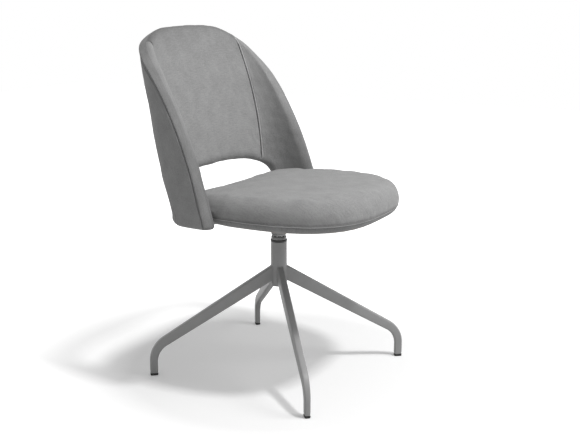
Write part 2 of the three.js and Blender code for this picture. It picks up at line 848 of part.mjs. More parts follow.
function strapBody(frame, thickness, width) {
  const { start, corner, end } = strapLine(frame);
  const line = bentLine(start, corner, end, strapBendRadius, strapBendSteps);
  const rings = line.map((point, i) => {
    const along = directionAt(line, i);
    const across = new THREE.Vector3(0, 1, 0).cross(along).multiplyScalar(thickness / 2);
    const half = new THREE.Vector3(0, width / 2, 0);
    return [
      point.clone().add(across).add(half),
      point.clone().add(across).sub(half),
      point.clone().sub(across).sub(half),
      point.clone().sub(across).add(half),
    ];
  });
  return skin(rings);
}

// Frames of the fasteners on a strap: z runs along each one from its head
function strapBoltFrames(frame) {
  const { xAt } = strapLine(frame);
  const outwards = new THREE.Matrix4().makeRotationY(Math.PI / 2 - frame.tilt);
  return [0, 1].map((i) => {
    const height = frame.level + (i - 0.5) * strapBoltSpacing;
    const face = strapThickness / 2 + clearance;
    const x = xAt(height) - face / Math.cos(frame.tilt);
    return frame.matrix.clone().multiply(new THREE.Matrix4().makeTranslation(x, 0, height)).multiply(outwards);
  });
}

function strapScrewFrames(frame) {
  return [0, 1].map((i) => {
    const x = frame.innerEnd + strapScrewInset + i * strapScrewSpacing;
    const below = plateTop - strapThickness - clearance;
    return frame.matrix.clone().multiply(new THREE.Matrix4().makeTranslation(x, 0, below));
  });
}

const sides = [
  { name: 'left', side: 1 },
  { name: 'right', side: -1 },
].map(({ name, side }) => {
  const frame = strapFrame(side);
  return { name, frame, bolts: strapBoltFrames(frame), screws: strapScrewFrames(frame) };
});

// Distances from a wing bolt's head seat to the far face of the core
const boltGrip = clearance + strapThickness + strapCoreGap + coreThickness;
const nutSink = clearance;

// Core, cut for the tee nuts in its outer face
function coreGeometry() {
  const row = shellRow(0, 1);
  const upper = shellRow(1, 1);
  const rowRise = upper.pointAt(upper.length / 2, 0).z - row.pointAt(row.length / 2, 0).z;
  const core = shellSolid(coreEndRise / rowRise, coreSection);
  const cutters = sides.flatMap(({ bolts }) => bolts.flatMap((bolt) => {
    const seat = bolt.clone().multiply(new THREE.Matrix4().makeTranslation(0, 0, boltGrip));
    return teeNutSpaces(coreThickness).map((space) => placed(space, seat));
  }));
  return cut(core, cutters);
}
add('back_core', coreGeometry(), plywood);

// Inner padding, which folds over the rim to a seam on the outer face and
// holds the straps' upper legs in pockets
function padGeometry() {
  const pockets = sides.flatMap(({ frame, bolts }) => [
    strapPocket(frame),
    placed(strapBody(frame, strapThickness + 2 * clearance, strapWidth + 2 * clearance), frame.matrix),
    ...bolts.map((bolt) => placed(
      rod(boltHeadRadius + clearance, -boltHeadHeight - clearance, boltGrip, fastenerFacets),
      bolt,
    )),
  ]);
  return cut(shellSolid(0, padSection), pockets);
}

function strapPocket(frame) {
  const { xAt } = strapLine(frame);
  const low = plateBottom - overrun;
  const high = plateBottom + strapRise + clearance;
  const inner = (height) => xAt(height) - strapThickness / 2 - clearance;
  const outer = (height) => xAt(height) + strapThickness / 2 + strapCoreGap;
  const half = strapWidth / 2 + clearance;
  const ring = (height) => [[inner(height), -half], [outer(height), -half], [outer(height), half],
    [inner(height), half]].map(([x, y]) => new THREE.Vector3(x, y, height));
  return placed(skin([ring(low), ring(high)]), frame.matrix);
}
add('back_pad', padGeometry(), fabric);
add('back_cover', shellSolid(0, coverSection), fabric);

for (const { name, frame, bolts, screws } of sides) {
  const holes = [
    ...bolts.map((bolt) => placed(rod(nutBore, -overrun, boltGrip, fastenerFacets), bolt)),
    ...screws.map((screw) => placed(
      rod(screwRadius + clearance, -overrun, strapThickness + overrun, fastenerFacets),
      screw,
    )),
  ];
  const strap = placed(strapBody(frame, strapThickness, strapWidth), frame.matrix);
  add(`wing_strap_${name}`, cut(strap, holes), paintedSteel);
  bolts.forEach((bolt, i) => {
    const place = ['lower', 'upper'][i];
    add(`wing_bolt_${name}_${place}`, placed(boltGeometry(boltGrip - nutSink), bolt), zincSteel);
    const seat = bolt.clone().multiply(new THREE.Matrix4().makeTranslation(0, 0, boltGrip - nutSink));
    add(`wing_nut_${name}_${place}`, placed(teeNutGeometry(), seat), zincSteel);
  });
  screws.forEach((screw, i) => {
    const place = ['inner', 'outer'][i];
    add(`strap_screw_${name}_${place}`, placed(screwGeometry(), screw), zincSteel);
  });
}

// Seat pan with tee nuts in its top, and holes for the strap screws
function panGeometry() {
  const board = skin([seatRing(panInset, panBottom), seatRing(panInset, panTop)]);
  const nutSpaces = plateBoltPlaces.flatMap((place) => teeNutSpaces(panThickness)
    .map((space) => space.translate(place.x, place.y, panTop)));
  return cut(board, [...nutSpaces, ...screwSpaces()]);
}

function screwSpaces() {
  const reach = screwLength + clearance;
  return sides.flatMap(({ screws }) => screws
    .map((screw) => placed(rod(screwRadius + clearance, 0, reach, fastenerFacets), screw)));
}
add('seat_pan', panGeometry(), plywood);

function dustCoverGeometry() {
  const top = dustCoverBottom + dustCoverThickness;
  const sheet = skin([seatRing(dustCoverInset, dustCoverBottom), seatRing(dustCoverInset, top)]);
  const boltHoles = plateBoltPlaces.map((place) => rod(
    nutBore,
    dustCoverBottom - overrun,
    top + overrun,
    fastenerFacets,
  ).translate(place.x, place.y, 0));
  return cut(sheet, [...boltHoles, ...screwSpaces()]);
}
add('dust_cover', dustCoverGeometry(), darkFabric);

function plateGeometry() {
  const outline = roundedSquare(plateWidth, plateCornerRadius);
  const plate = new THREE.ExtrudeGeometry(outline, { depth: plateThickness, bevelEnabled: false });
  const low = plateBottom - overrun;
  const high = plateTop + overrun;
  const boltHoles = plateBoltPlaces
    .map((place) => rod(nutBore, low, high, fastenerFacets).translate(place.x, place.y, 0));
  return cut(plate.translate(0, 0, plateBottom), [rod(spindleRadius + clearance, low, high), ...boltHoles]);
}

function roundedSquare(size, radius) {
  const shape = new THREE.Shape();
  const reach = size / 2 - radius;
  shape.absarc(reach, reach, radius, 0, Math.PI / 2);
  shape.absarc(-reach, reach, radius, Math.PI / 2, Math.PI);
  shape.absarc(-reach, -reach, radius, Math.PI, 3 * Math.PI / 2);
  shape.absarc(reach, -reach, radius, 3 * Math.PI / 2, 2 * Math.PI);
  return new THREE.Shape(shape.getPoints(cornerSteps * 2));
}
add('mounting_plate', plateGeometry(), paintedSteel);

plateBoltPlaces.forEach((place, i) => {
  const corner = ['front', 'rear'][i % 2] + ['_right', '_left'][Math.floor(i / 2)];
  const head = plateBottom - clearance;
  const nutTop = panTop - clearance;
  const bolt = boltGeometry(nutTop - head).translate(place.x, place.y, head);
  add(`plate_bolt_${corner}`, bolt, zincSteel);
  add(`plate_nut_${corner}`, teeNutGeometry().translate(place.x, place.y, nutTop), zincSteel);
});

// The origin lies under the middle of the chair's box
const box = new THREE.Box3().setFromObject(chair);
const middle = box.getCenter(new THREE.Vector3());
chair.position.set(-middle.x, -middle.y, -box.min.z);
chair.updateMatrixWorld(true);

export default chair;
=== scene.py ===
# Swivel dining chair: cloth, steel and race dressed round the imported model.
# Shapes are worked out in millimetres as arrays, and go into the meshes in metres.
import json
import math
import bpy
import bmesh
import numpy as np
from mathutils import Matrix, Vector


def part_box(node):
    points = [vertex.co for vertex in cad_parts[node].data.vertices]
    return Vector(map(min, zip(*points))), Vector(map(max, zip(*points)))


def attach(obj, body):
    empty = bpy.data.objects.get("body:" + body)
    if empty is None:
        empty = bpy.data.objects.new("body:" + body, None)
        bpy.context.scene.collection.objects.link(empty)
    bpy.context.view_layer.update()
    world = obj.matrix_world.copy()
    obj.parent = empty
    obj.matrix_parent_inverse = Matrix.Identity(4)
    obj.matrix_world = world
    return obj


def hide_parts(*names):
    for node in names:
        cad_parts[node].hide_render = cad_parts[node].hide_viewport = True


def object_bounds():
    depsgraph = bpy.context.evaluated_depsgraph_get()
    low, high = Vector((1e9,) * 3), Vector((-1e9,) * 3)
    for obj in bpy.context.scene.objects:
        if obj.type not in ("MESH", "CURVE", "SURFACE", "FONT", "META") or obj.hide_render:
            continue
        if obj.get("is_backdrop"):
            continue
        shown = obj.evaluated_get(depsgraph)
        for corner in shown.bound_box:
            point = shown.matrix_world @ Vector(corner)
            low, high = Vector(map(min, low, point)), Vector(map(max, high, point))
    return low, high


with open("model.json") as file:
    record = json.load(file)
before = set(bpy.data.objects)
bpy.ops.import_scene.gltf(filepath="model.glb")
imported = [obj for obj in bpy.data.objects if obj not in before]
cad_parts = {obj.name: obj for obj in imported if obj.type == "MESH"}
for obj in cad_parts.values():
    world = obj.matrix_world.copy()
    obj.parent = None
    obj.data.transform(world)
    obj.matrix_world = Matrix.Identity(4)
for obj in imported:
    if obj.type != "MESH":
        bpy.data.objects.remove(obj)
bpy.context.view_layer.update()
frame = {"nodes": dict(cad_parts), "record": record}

spindleLow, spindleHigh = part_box("spindle")
axisY = (spindleLow.y + spindleHigh.y) * 500  # the swivel axis, in mm along y
corners = ["rear_left", "rear_right", "front_right", "front_left"]
sides = {"left": 1, "right": -1}
scene = bpy.context.scene
print("chair: frame loaded")


def addObject(name, data):
    made = bpy.data.objects.new(name, data)
    scene.collection.objects.link(made)
    return made


# camera: angles in degrees, lengths in metres, focal length as a share of the picture's width
view = {"focalShare": 950 / 580, "sensor": 36, "azimuth": 59.5, "pitch": -13.2, "yaw": -0.695,
        "distance": 2.3175, "height": 0.9338, "clip": 50}


def placeCamera():
    # forward is the level direction to the axis, turned by the yaw and tipped by the pitch
    azimuth, pitch, yaw = (math.radians(view[key]) for key in ("azimuth", "pitch", "yaw"))
    level = Vector((math.sin(azimuth), math.cos(azimuth), 0))
    right = Vector((math.cos(azimuth), -math.sin(azimuth), 0))
    forward = (level * math.cos(yaw) - right * math.sin(yaw)) * math.cos(pitch)
    forward += Vector((0, 0, math.sin(pitch)))
    data = bpy.data.cameras.new("camera")
    data.sensor_width = view["sensor"]
    data.lens = view["sensor"] * view["focalShare"]
    data.clip_end = view["clip"]
    camera = addObject("camera", data)
    camera.location = Vector((0, axisY / 1000, view["height"])) - level * view["distance"]
    camera.rotation_euler = forward.to_track_quat("-Z", "Y").to_euler()
    scene.camera = camera


placeCamera()
scene.view_settings.view_transform = "Standard"


# node helpers
def put(tree, kind, inputs=None, **settings):
    # adds a shader node; inputs are values or sockets by name or number
    made = tree.nodes.new("ShaderNode" + kind)
    for key, value in settings.items():
        setattr(made, key, value)
    for key, value in (inputs or {}).items():
        socket = made.inputs[key]
        if isinstance(value, bpy.types.NodeSocket):
            tree.links.new(value, socket)
        else:
            socket.default_value = value
    return made


def calc(tree, operation, first, second=0.0):
    return put(tree, "Math", {0: first, 1: second}, operation=operation).outputs[0]


def weighted(tree, *pairs):
    # the sum of each value times its weight
    total = None
    for value, weight in pairs:
        term = value if weight == 1 else calc(tree, "MULTIPLY", value, weight)
        total = term if total is None else calc(tree, "ADD", total, term)
    return total


def ranged(tree, value, low, high, **limits):
    # a value from 0 to 1, or between the limits given, carried over to low to high
    inputs = {"Value": value, "To Min": low, "To Max": high}
    inputs.update({key.replace("_", " "): limit for key, limit in limits.items()})
    return put(tree, "MapRange", inputs).outputs[0]


def objectPlace(tree):
    return put(tree, "TexCoord").outputs["Object"]


def noiseOf(tree, vector, scale, detail=2.0, roughness=0.5):
    inputs = {"Vector": vector, "Scale": scale, "Detail": detail, "Roughness": roughness}
    return put(tree, "TexNoise", inputs).outputs["Fac"]


def stretched(tree, vector, scale):
    return put(tree, "Mapping", {"Vector": vector, "Scale": scale}).outputs["Vector"]


def tones(tree, factor, dark, light, low=0.3, high=0.7):
    # a grey or colour between two tones, from a factor that runs from low to high
    ramp = put(tree, "ValToRGB", {"Fac": factor})
    for stop, place, tone in zip(ramp.color_ramp.elements, (low, high), (dark, light)):
        stop.position = place
        stop.color = (*tone, 1) if hasattr(tone, "__len__") else (tone, tone, tone, 1)
    return ramp.outputs["Color"]


def newMaterial(name):
    material = bpy.data.materials.new(name)
    material.use_nodes = True
    tree = material.node_tree
    return material, tree, tree.nodes["Principled BSDF"], tree.nodes["Material Output"]


def linkShader(tree, shader, colour, gloss, height, depth, strength, **plain):
    # depth is the bump's in metres; gloss is None where the roughness is plain
    for key, value in plain.items():
        shader.inputs[key.replace("_", " ")].default_value = value
    tree.links.new(colour, shader.inputs["Base Color"])
    if gloss is not None:
        tree.links.new(gloss, shader.inputs["Roughness"])
    bump = put(tree, "Bump", {"Height": height, "Distance": depth, "Strength": strength})
    tree.links.new(bump.outputs["Normal"], shader.inputs["Normal"])


# finishes: tones are linear greys or colours, scales are per metre of noise, depths in metres
fabric = {"dark": 0.245, "light": 0.35, "tonesFrom": 0.39, "tonesTo": 0.61, "paintedShadeScale": 0.5,
          "blotch": 26, "streak": (620, 46, 1), "speck": 330, "pile": 900, "threadPitch": 0.0011,
          "blotchShare": 0.22, "streakShare": 0.36, "speckShare": 0.42, "weaveHeight": 0.22,
          "speckHeight": 0.9, "depth": 0.0003, "bump": 0.55, "rough": 0.93, "sheen": 0.22,
          "sheenRough": 0.45, "specular": 0.18}


def fabricMaterial():
    # short pile over a fine weave: blotches and brushed streaks in tone, threads and pile in height
    material, tree, shader, _ = newMaterial("fabric_grey")
    place = objectPlace(tree)
    laid = put(tree, "UVMap", uv_map="cloth").outputs["UV"]
    blotch = noiseOf(tree, place, fabric["blotch"], 4, 0.6)
    streak = noiseOf(tree, stretched(tree, laid, fabric["streak"]), 1.0, 3, 0.6)
    speck = noiseOf(tree, place, fabric["speck"], 4, 0.75)
    pile = noiseOf(tree, place, fabric["pile"], 3, 0.7)
    mixed = weighted(tree, (blotch, fabric["blotchShare"]), (streak, fabric["streakShare"]),
                     (speck, fabric["speckShare"]))
    colour = tones(tree, mixed, fabric["dark"], fabric["light"], fabric["tonesFrom"], fabric["tonesTo"])
    # painted shade and painted highlight: the shade attribute darkens the colour by its scale, and lightens it
    # where the attribute is below 0
    shade = put(tree, "Attribute", attribute_name="shade").outputs["Fac"]
    keep = calc(tree, "SUBTRACT", 1.0, calc(tree, "MULTIPLY", shade, fabric["paintedShadeScale"]))
    shaded = put(tree, "VectorMath", {0: colour, "Scale": keep}, operation="SCALE")
    across = put(tree, "SeparateXYZ", {0: laid})
    waves = []
    for axis in "XY":
        phase = calc(tree, "MULTIPLY", across.outputs[axis], 2 * math.pi / fabric["threadPitch"])
        waves.append(calc(tree, "SINE", phase))
    weave = calc(tree, "MULTIPLY", waves[0], waves[1])
    height = weighted(tree, (weave, fabric["weaveHeight"]), (pile, 1), (speck, fabric["speckHeight"]))
    linkShader(tree, shader, shaded.outputs["Vector"], None, height, fabric["depth"], fabric["bump"],
               Roughness=fabric["rough"], Sheen_Weight=fabric["sheen"],
               Sheen_Roughness=fabric["sheenRough"], Specular_IOR_Level=fabric["specular"])
    return material


liningCloth = {"dark": 0.018, "light": 0.05, "dimples": 420.0, "fibres": 700, "fibreHeight": 0.5,
               "depth": 0.00025, "bump": 0.7, "rough": 0.85, "sheen": 0.1}


def liningMaterial():
    # pressed non-woven cloth: small dimples and loose fibres
    material, tree, shader, _ = newMaterial("lining_black")
    place = objectPlace(tree)
    dimpleInputs = {"Vector": place, "Scale": liningCloth["dimples"]}
    dimples = put(tree, "TexVoronoi", dimpleInputs).outputs["Distance"]
    fibres = noiseOf(tree, stretched(tree, place, (1, 3, 1)), liningCloth["fibres"], 4, 0.7)
    colour = tones(tree, fibres, liningCloth["dark"], liningCloth["light"])
    height = weighted(tree, (dimples, 1), (fibres, liningCloth["fibreHeight"]))
    linkShader(tree, shader, colour, None, height, liningCloth["depth"], liningCloth["bump"],
               Roughness=liningCloth["rough"], Sheen_Weight=liningCloth["sheen"])
    return material


# a cloud and marks are noises of scale, detail and roughness; a brush stretches the marks
coats = {
    "paint_grey": {"tones": (0.28, 0.325), "gloss": (0.36, 0.48), "cloud": (22, 3), "marks": (1100, 2),
                   "speck": (2600, 1), "cloudShare": 0.6, "speckShare": 0.4, "depth": 0.00006, "bump": 0.5,
                   "plain": {"Specular_IOR_Level": 0.5}},
    "plastic_black": {"tones": (0.006, 0.012), "gloss": (0.42, 0.55), "cloud": (60, 2),
                      "marks": (1500, 3, 0.7), "depth": 0.00008, "bump": 0.5, "plain": {}},
    "steel_bright": {"tones": (0.07, 0.18), "gloss": (0.192, 0.312), "cloud": (90, 3), "marks": (1, 3, 0.6),
                     "brush": (60, 60, 2500), "depth": 0.00003, "bump": 0.4, "plain": {"Metallic": 1.0}},
    "steel_zinc": {"tones": (0.48, 0.6), "gloss": (0.264, 0.429), "cloud": (90, 3), "marks": (1, 3, 0.6),
                   "brush": (500, 500, 500), "depth": 0.00004, "bump": 0.4, "plain": {"Metallic": 1.0}}}


def coatMaterial(name):
    # cloud in tone and gloss; orange peel, moulded grain or brushed marks in height
    coat = coats[name]
    material, tree, shader, _ = newMaterial(name)
    place = objectPlace(tree)
    cloud = noiseOf(tree, place, *coat["cloud"])
    laid = stretched(tree, place, coat["brush"]) if "brush" in coat else place
    marks = noiseOf(tree, laid, *coat["marks"])
    mixed = cloud
    if "speck" in coat:
        speck = noiseOf(tree, place, *coat["speck"])
        mixed = weighted(tree, (cloud, coat["cloudShare"]), (speck, coat["speckShare"]))
    linkShader(tree, shader, tones(tree, mixed, *coat["tones"]), ranged(tree, cloud, *coat["gloss"]), marks,
               coat["depth"], coat["bump"], **coat["plain"])
    return material


plywood = {"dark": (0.36, 0.23, 0.12), "light": (0.62, 0.46, 0.28), "tonesFrom": 0.25, "tonesTo": 0.6,
           "grain": (260, 9, 260), "ply": 0.0026, "grainShare": 0.8, "plyShare": 0.1,
           "depth": 0.0002, "bump": 0.4, "rough": 0.62}


def plywoodMaterial():
    # birch plywood: plies across the thickness, long grain on the faces
    material, tree, shader, _ = newMaterial("plywood_birch")
    place = objectPlace(tree)
    grain = noiseOf(tree, stretched(tree, place, plywood["grain"]), 1.0, 5, 0.65)
    height = put(tree, "SeparateXYZ", {0: place}).outputs["Z"]
    plies = calc(tree, "SINE", calc(tree, "MULTIPLY", height, 2 * math.pi / plywood["ply"]))
    both = weighted(tree, (grain, plywood["grainShare"]), (plies, plywood["plyShare"]))
    colour = tones(tree, both, plywood["dark"], plywood["light"], plywood["tonesFrom"], plywood["tonesTo"])
    linkShader(tree, shader, colour, None, grain, plywood["depth"], plywood["bump"],
               Roughness=plywood["rough"])
    return material


finishes = {
    "grey_fabric": fabricMaterial(),
    "lining_cloth": liningMaterial(),
    "painted_steel": coatMaterial("paint_grey"),
    "bright_steel": coatMaterial("steel_bright"),
    "zinc_steel": coatMaterial("steel_zinc"),
    "black_plastic": coatMaterial("plastic_black"),
    "plywood": plywoodMaterial(),
}
for row in frame["record"]["subparts"]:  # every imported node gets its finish, also where a piece stands for it
    carried = frame["nodes"][row["node"]].data
    carried.materials.clear()
    carried.materials.append(finishes[row["material_slot"]])
print("chair: finishes made")


# mesh helpers
def unit(vectors):
    # each vector over its length
    return vectors / np.maximum(np.linalg.norm(vectors, axis=-1, keepdims=True), 1e-12)


def runAlong(points, axis=0):
    # distance from the first point to each one along an axis of the array
    steps = np.linalg.norm(np.diff(points, axis=axis), axis=-1)
    start = np.zeros_like(np.take(steps, [0], axis=axis))
    return np.cumsum(np.concatenate([start, steps], axis=axis), axis=axis)


def within(value):
    # the value kept from 0 to 1
    return np.clip(value, 0, 1)


def stacked(*sides):
    # arrays of coordinates as one array of points
    return np.stack(np.broadcast_arrays(*sides), -1)


def fullTurn(facets):
    # even angles round one turn
    return np.linspace(0, 2 * np.pi, facets, endpoint=False)


def roundAxis(radius, turn, height):
    # points at a distance from the swivel axis, a turn about it and a height
    return stacked(radius * np.cos(turn), radius * np.sin(turn) + axisY, height)


def fromAxis(points):
    # level directions away from the swivel axis
    return unit((points - np.array([0, axisY, 0])) * np.array([1, 1, 0]))


def withHeights(rings, heights):
    # flat rings, each lifted to its own height
    return np.concatenate([rings, np.broadcast_to(heights[:, None, None], rings.shape[:2] + (1,))], -1)


def endCaps(points):
    # the first and the last row as faces that close a tube of rows
    rows, columns = points.shape[:2]
    return [np.arange(columns)[::-1], (rows - 1) * columns + np.arange(columns)]


def gridFaces(rows, columns, closedRows=False, closedColumns=False):
    # quads between neighbours of a rows by columns grid, as vertex numbers
    r = np.arange(rows if closedRows else rows - 1)[:, None]
    c = np.arange(columns if closedColumns else columns - 1)[None, :]
    nextR, nextC = (r + 1) % rows, (c + 1) % columns
    quads = stacked(r * columns + c, r * columns + nextC, nextR * columns + nextC, nextR * columns + c)
    return quads.reshape(-1, 4)


def gridMap(points, closedRows=False, closedColumns=False):
    # cloth map in metres for each face corner: mean run along the columns, mean run along the rows
    wrapped = np.concatenate([points, points[:1]], 0) if closedRows else points
    wrapped = np.concatenate([wrapped, wrapped[:, :1]], 1) if closedColumns else wrapped
    up = runAlong(wrapped, 0).mean(1)
    along = runAlong(wrapped, 1).mean(0)
    u, v = np.meshgrid(along, up)
    first, second = slice(None, -1), slice(1, None)
    faceCorners = [(first, first), (first, second), (second, second), (second, first)]
    return np.stack([np.stack([u[at], v[at]], -1) for at in faceCorners], 2).reshape(-1, 2) / 1000


def volumeOf(points, quads):
    # the sum of the tetrahedra between the origin and both halves of each quad; negative if inside out
    a, b, c, d = (points[quads[:, i]] for i in range(4))
    halves = np.einsum("ij,ij->i", a, np.cross(b, c)) + np.einsum("ij,ij->i", a, np.cross(c, d))
    return halves.sum() / 6


mending = {"weld": 2e-6, "shortest": 1e-7, "sharp": math.radians(48)}  # metres, metres, radians


def addPiece(name, finish, body, stands=(), parts=(), caps=(), turned=True, shade=None):
    # parts are (points, quads, map) in mm; caps are rings of vertex numbers; faces end up pointing outwards;
    # shade is painted shade for each point, 1 where the cloth is painted darkest, as in a seam's groove or a
    # fold, below 0 where it is painted lighter as a highlight
    points = np.concatenate([p.reshape(-1, 3) for p, _, _ in parts])
    starts = np.cumsum([0] + [p.reshape(-1, 3).shape[0] for p, _, _ in parts])
    quads = np.concatenate([q + start for (_, q, _), start in zip(parts, starts)])
    uv = np.concatenate([m for _, _, m in parts])
    if turned and volumeOf(points - points.mean(0), quads) < 0:
        quads = quads[:, ::-1]
        uv = uv.reshape(-1, 4, 2)[:, ::-1].reshape(-1, 2)
        caps = [ring[::-1] for ring in caps]
    faces = quads.tolist() + [list(ring) for ring in caps]
    mesh = bpy.data.meshes.new(name)
    mesh.from_pydata((points / 1000).tolist(), [], faces)
    layer = mesh.uv_layers.new(name="cloth")
    capUv = [points[list(ring)][:, :2] / 1000 for ring in caps]
    layer.data.foreach_set("uv", np.concatenate([uv, *capUv]).astype(np.float32).ravel())
    mesh.polygons.foreach_set("use_smooth", np.ones(len(faces), bool))
    if shade is not None:
        values = shade.astype(np.float32).ravel()
        mesh.attributes.new("shade", "FLOAT", "POINT").data.foreach_set("value", values)
    shape = bmesh.new()
    shape.from_mesh(mesh)
    bmesh.ops.remove_doubles(shape, verts=shape.verts, dist=mending["weld"])
    bmesh.ops.dissolve_degenerate(shape, edges=shape.edges, dist=mending["shortest"])
    shape.to_mesh(mesh)
    shape.free()
    if finish not in ("grey_fabric", "lining_cloth"):
        mesh.set_sharp_from_angle(angle=mending["sharp"])
    mesh.materials.append(finishes[finish])
    piece = addObject(name, mesh)
    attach(piece, body)
    if stands:
        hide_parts(*stands)
    return piece


def part(points, closedRows=False, closedColumns=False):
    faces = gridFaces(*points.shape[:2], closedRows, closedColumns)
    return points, faces, gridMap(points, closedRows, closedColumns)


def clothPiece(name, stands, parts, **more):
    return addPiece(name, "grey_fabric", "seat", stands, parts, **more)


def tubePiece(name, finish, body, stands, points, **more):
    # a tube of rows with both ends closed
    return addPiece(name, finish, body, stands, [part(points, False, True)], endCaps(points), **more)


def rounded(profile, radius, steps=5, closed=True):
    # each corner of a profile becomes an arc of that radius, or less where its sides are short
    profile = np.asarray(profile, float)
    before, after = np.roll(profile, 1, 0) - profile, np.roll(profile, -1, 0) - profile
    reachBefore, reachAfter = np.linalg.norm(before, axis=1), np.linalg.norm(after, axis=1)
    before, after = unit(before), unit(after)
    half = np.arccos(np.clip((before * after).sum(1), -0.9999, 0.9999)) / 2
    radii = np.broadcast_to(np.asarray(radius, float), (len(profile),))
    reach = np.minimum(radii / np.tan(half), 0.45 * np.minimum(reachBefore, reachAfter))
    share = np.linspace(0, 1, steps + 1)[None, :, None]
    start, end = profile + before * reach[:, None], profile + after * reach[:, None]
    weight = [(1 - share) ** 2, 2 * share * (1 - share), share ** 2]
    arcs = weight[0] * start[:, None] + weight[1] * profile[:, None] + weight[2] * end[:, None]
    if not closed:
        return np.concatenate([profile[:1], arcs[1:-1].reshape(-1, 2), profile[-1:]])
    return arcs.reshape(-1, 2)


def lathe(profile, closed=True, facets=96):
    # a profile of (radius, height) turned about the swivel axis
    return part(roundAxis(profile[:, :1], fullTurn(facets), profile[:, 1:]), closed, True)


def roundedRectangle(width, depth, radius, steps=6):
    # width and depth may be arrays, one for each row of a sweep
    quarters = [np.linspace(corner, corner + 1, steps + 1) for corner in range(4)]
    turn = np.concatenate(quarters) * np.pi / 2
    signX = np.repeat([1, -1, -1, 1], steps + 1)
    signY = np.repeat([1, 1, -1, -1], steps + 1)
    width, depth = np.atleast_1d(width)[:, None], np.atleast_1d(depth)[:, None]
    return stacked(signX * (width / 2 - radius) + radius * np.cos(turn),
                   signY * (depth / 2 - radius) + radius * np.sin(turn))


def tubeAlong(path, radius, facets=12, closed=False):
    # a round tube whose rings stand square to the path, with radius a number or one for each point
    ahead = np.roll(path, -1, 0) - np.roll(path, 1, 0)
    if not closed:
        ahead[0], ahead[-1] = path[1] - path[0], path[-1] - path[-2]
    ahead = unit(ahead)
    guide = np.where(np.abs(ahead[:, 2:3]) > 0.9, np.array([[1.0, 0, 0]]), np.array([[0, 0, 1.0]]))
    side = unit(np.cross(ahead, guide))
    above = np.cross(side, ahead)
    turn = fullTurn(facets)[None, :, None]
    radius = np.broadcast_to(np.asarray(radius, float), (len(path),))[:, None, None]
    rings = np.cos(turn) * side[:, None] + np.sin(turn) * above[:, None]
    return path[:, None] + radius * rings


waves = {"count": 6, "shortest": 0.6, "longest": 1.6, "sum": 2.4}


def ripple(points, size, wave, seed):
    # smooth wandering value between about -size and size: a sum of sines in seeded directions
    draw, count = np.random.default_rng(seed), waves["count"]
    directions = unit(draw.normal(size=(count, 3)))
    directions *= 2 * np.pi / (wave * draw.uniform(waves["shortest"], waves["longest"], (count, 1)))
    phases = draw.uniform(0, 2 * np.pi, count)
    return size * np.sin(points @ directions.T + phases).sum(-1) / waves["sum"]


def ripples(points, rows):
    return sum(ripple(points, *row) for row in rows)


def creaseRise(first, second, rows, bend=0.0, total=0.0):
    # each crease is a bell across its line and a longer bell along it, and the line may bend as a parabola;
    # first and second are places on two axes, rows are both places, length, lean, width and height
    for x, y, length, lean, width, height in rows:
        across, up = first - x, second - y
        lean = math.radians(lean)
        along = across * math.cos(lean) + up * math.sin(lean)
        beside = -across * math.sin(lean) + up * math.cos(lean) + bend * along ** 2
        total = total + height * np.exp(-(along / length) ** 2 - (beside / width) ** 2)
    return total


# legs, glides and the welds at the column
leg = {"turn": 3.25, "reach": 322.0, "widths": (18.0, 16.2, 13.8), "depths": (34.0, 23.5, 19.6),
       "corner": 4.0, "bend": 60.0, "cornerHeight": 70.8, "junction": 249.2868, "foot": 6.3,
       "columnRadius": 20.4, "endEase": (0.12, 0.7), "runRows": 21, "bendRows": 25, "footRows": 8,
       "settleRows": 5}
weld = {"radius": 1.3, "out": 0.35, "wave": 0.18, "waveStep": 2.4, "facets": 10}


def aboutAxis(points, index):
    # from a leg's own frame, reaching along x, to its place round the column
    turn = math.pi * (index + 0.5) / 2 - math.radians(leg["turn"])
    x, y, z = points[..., 0], points[..., 1], points[..., 2]
    ahead, aside = math.cos(turn), math.sin(turn)
    return np.stack([x * ahead - y * aside, x * aside + y * ahead + axisY, z], -1)


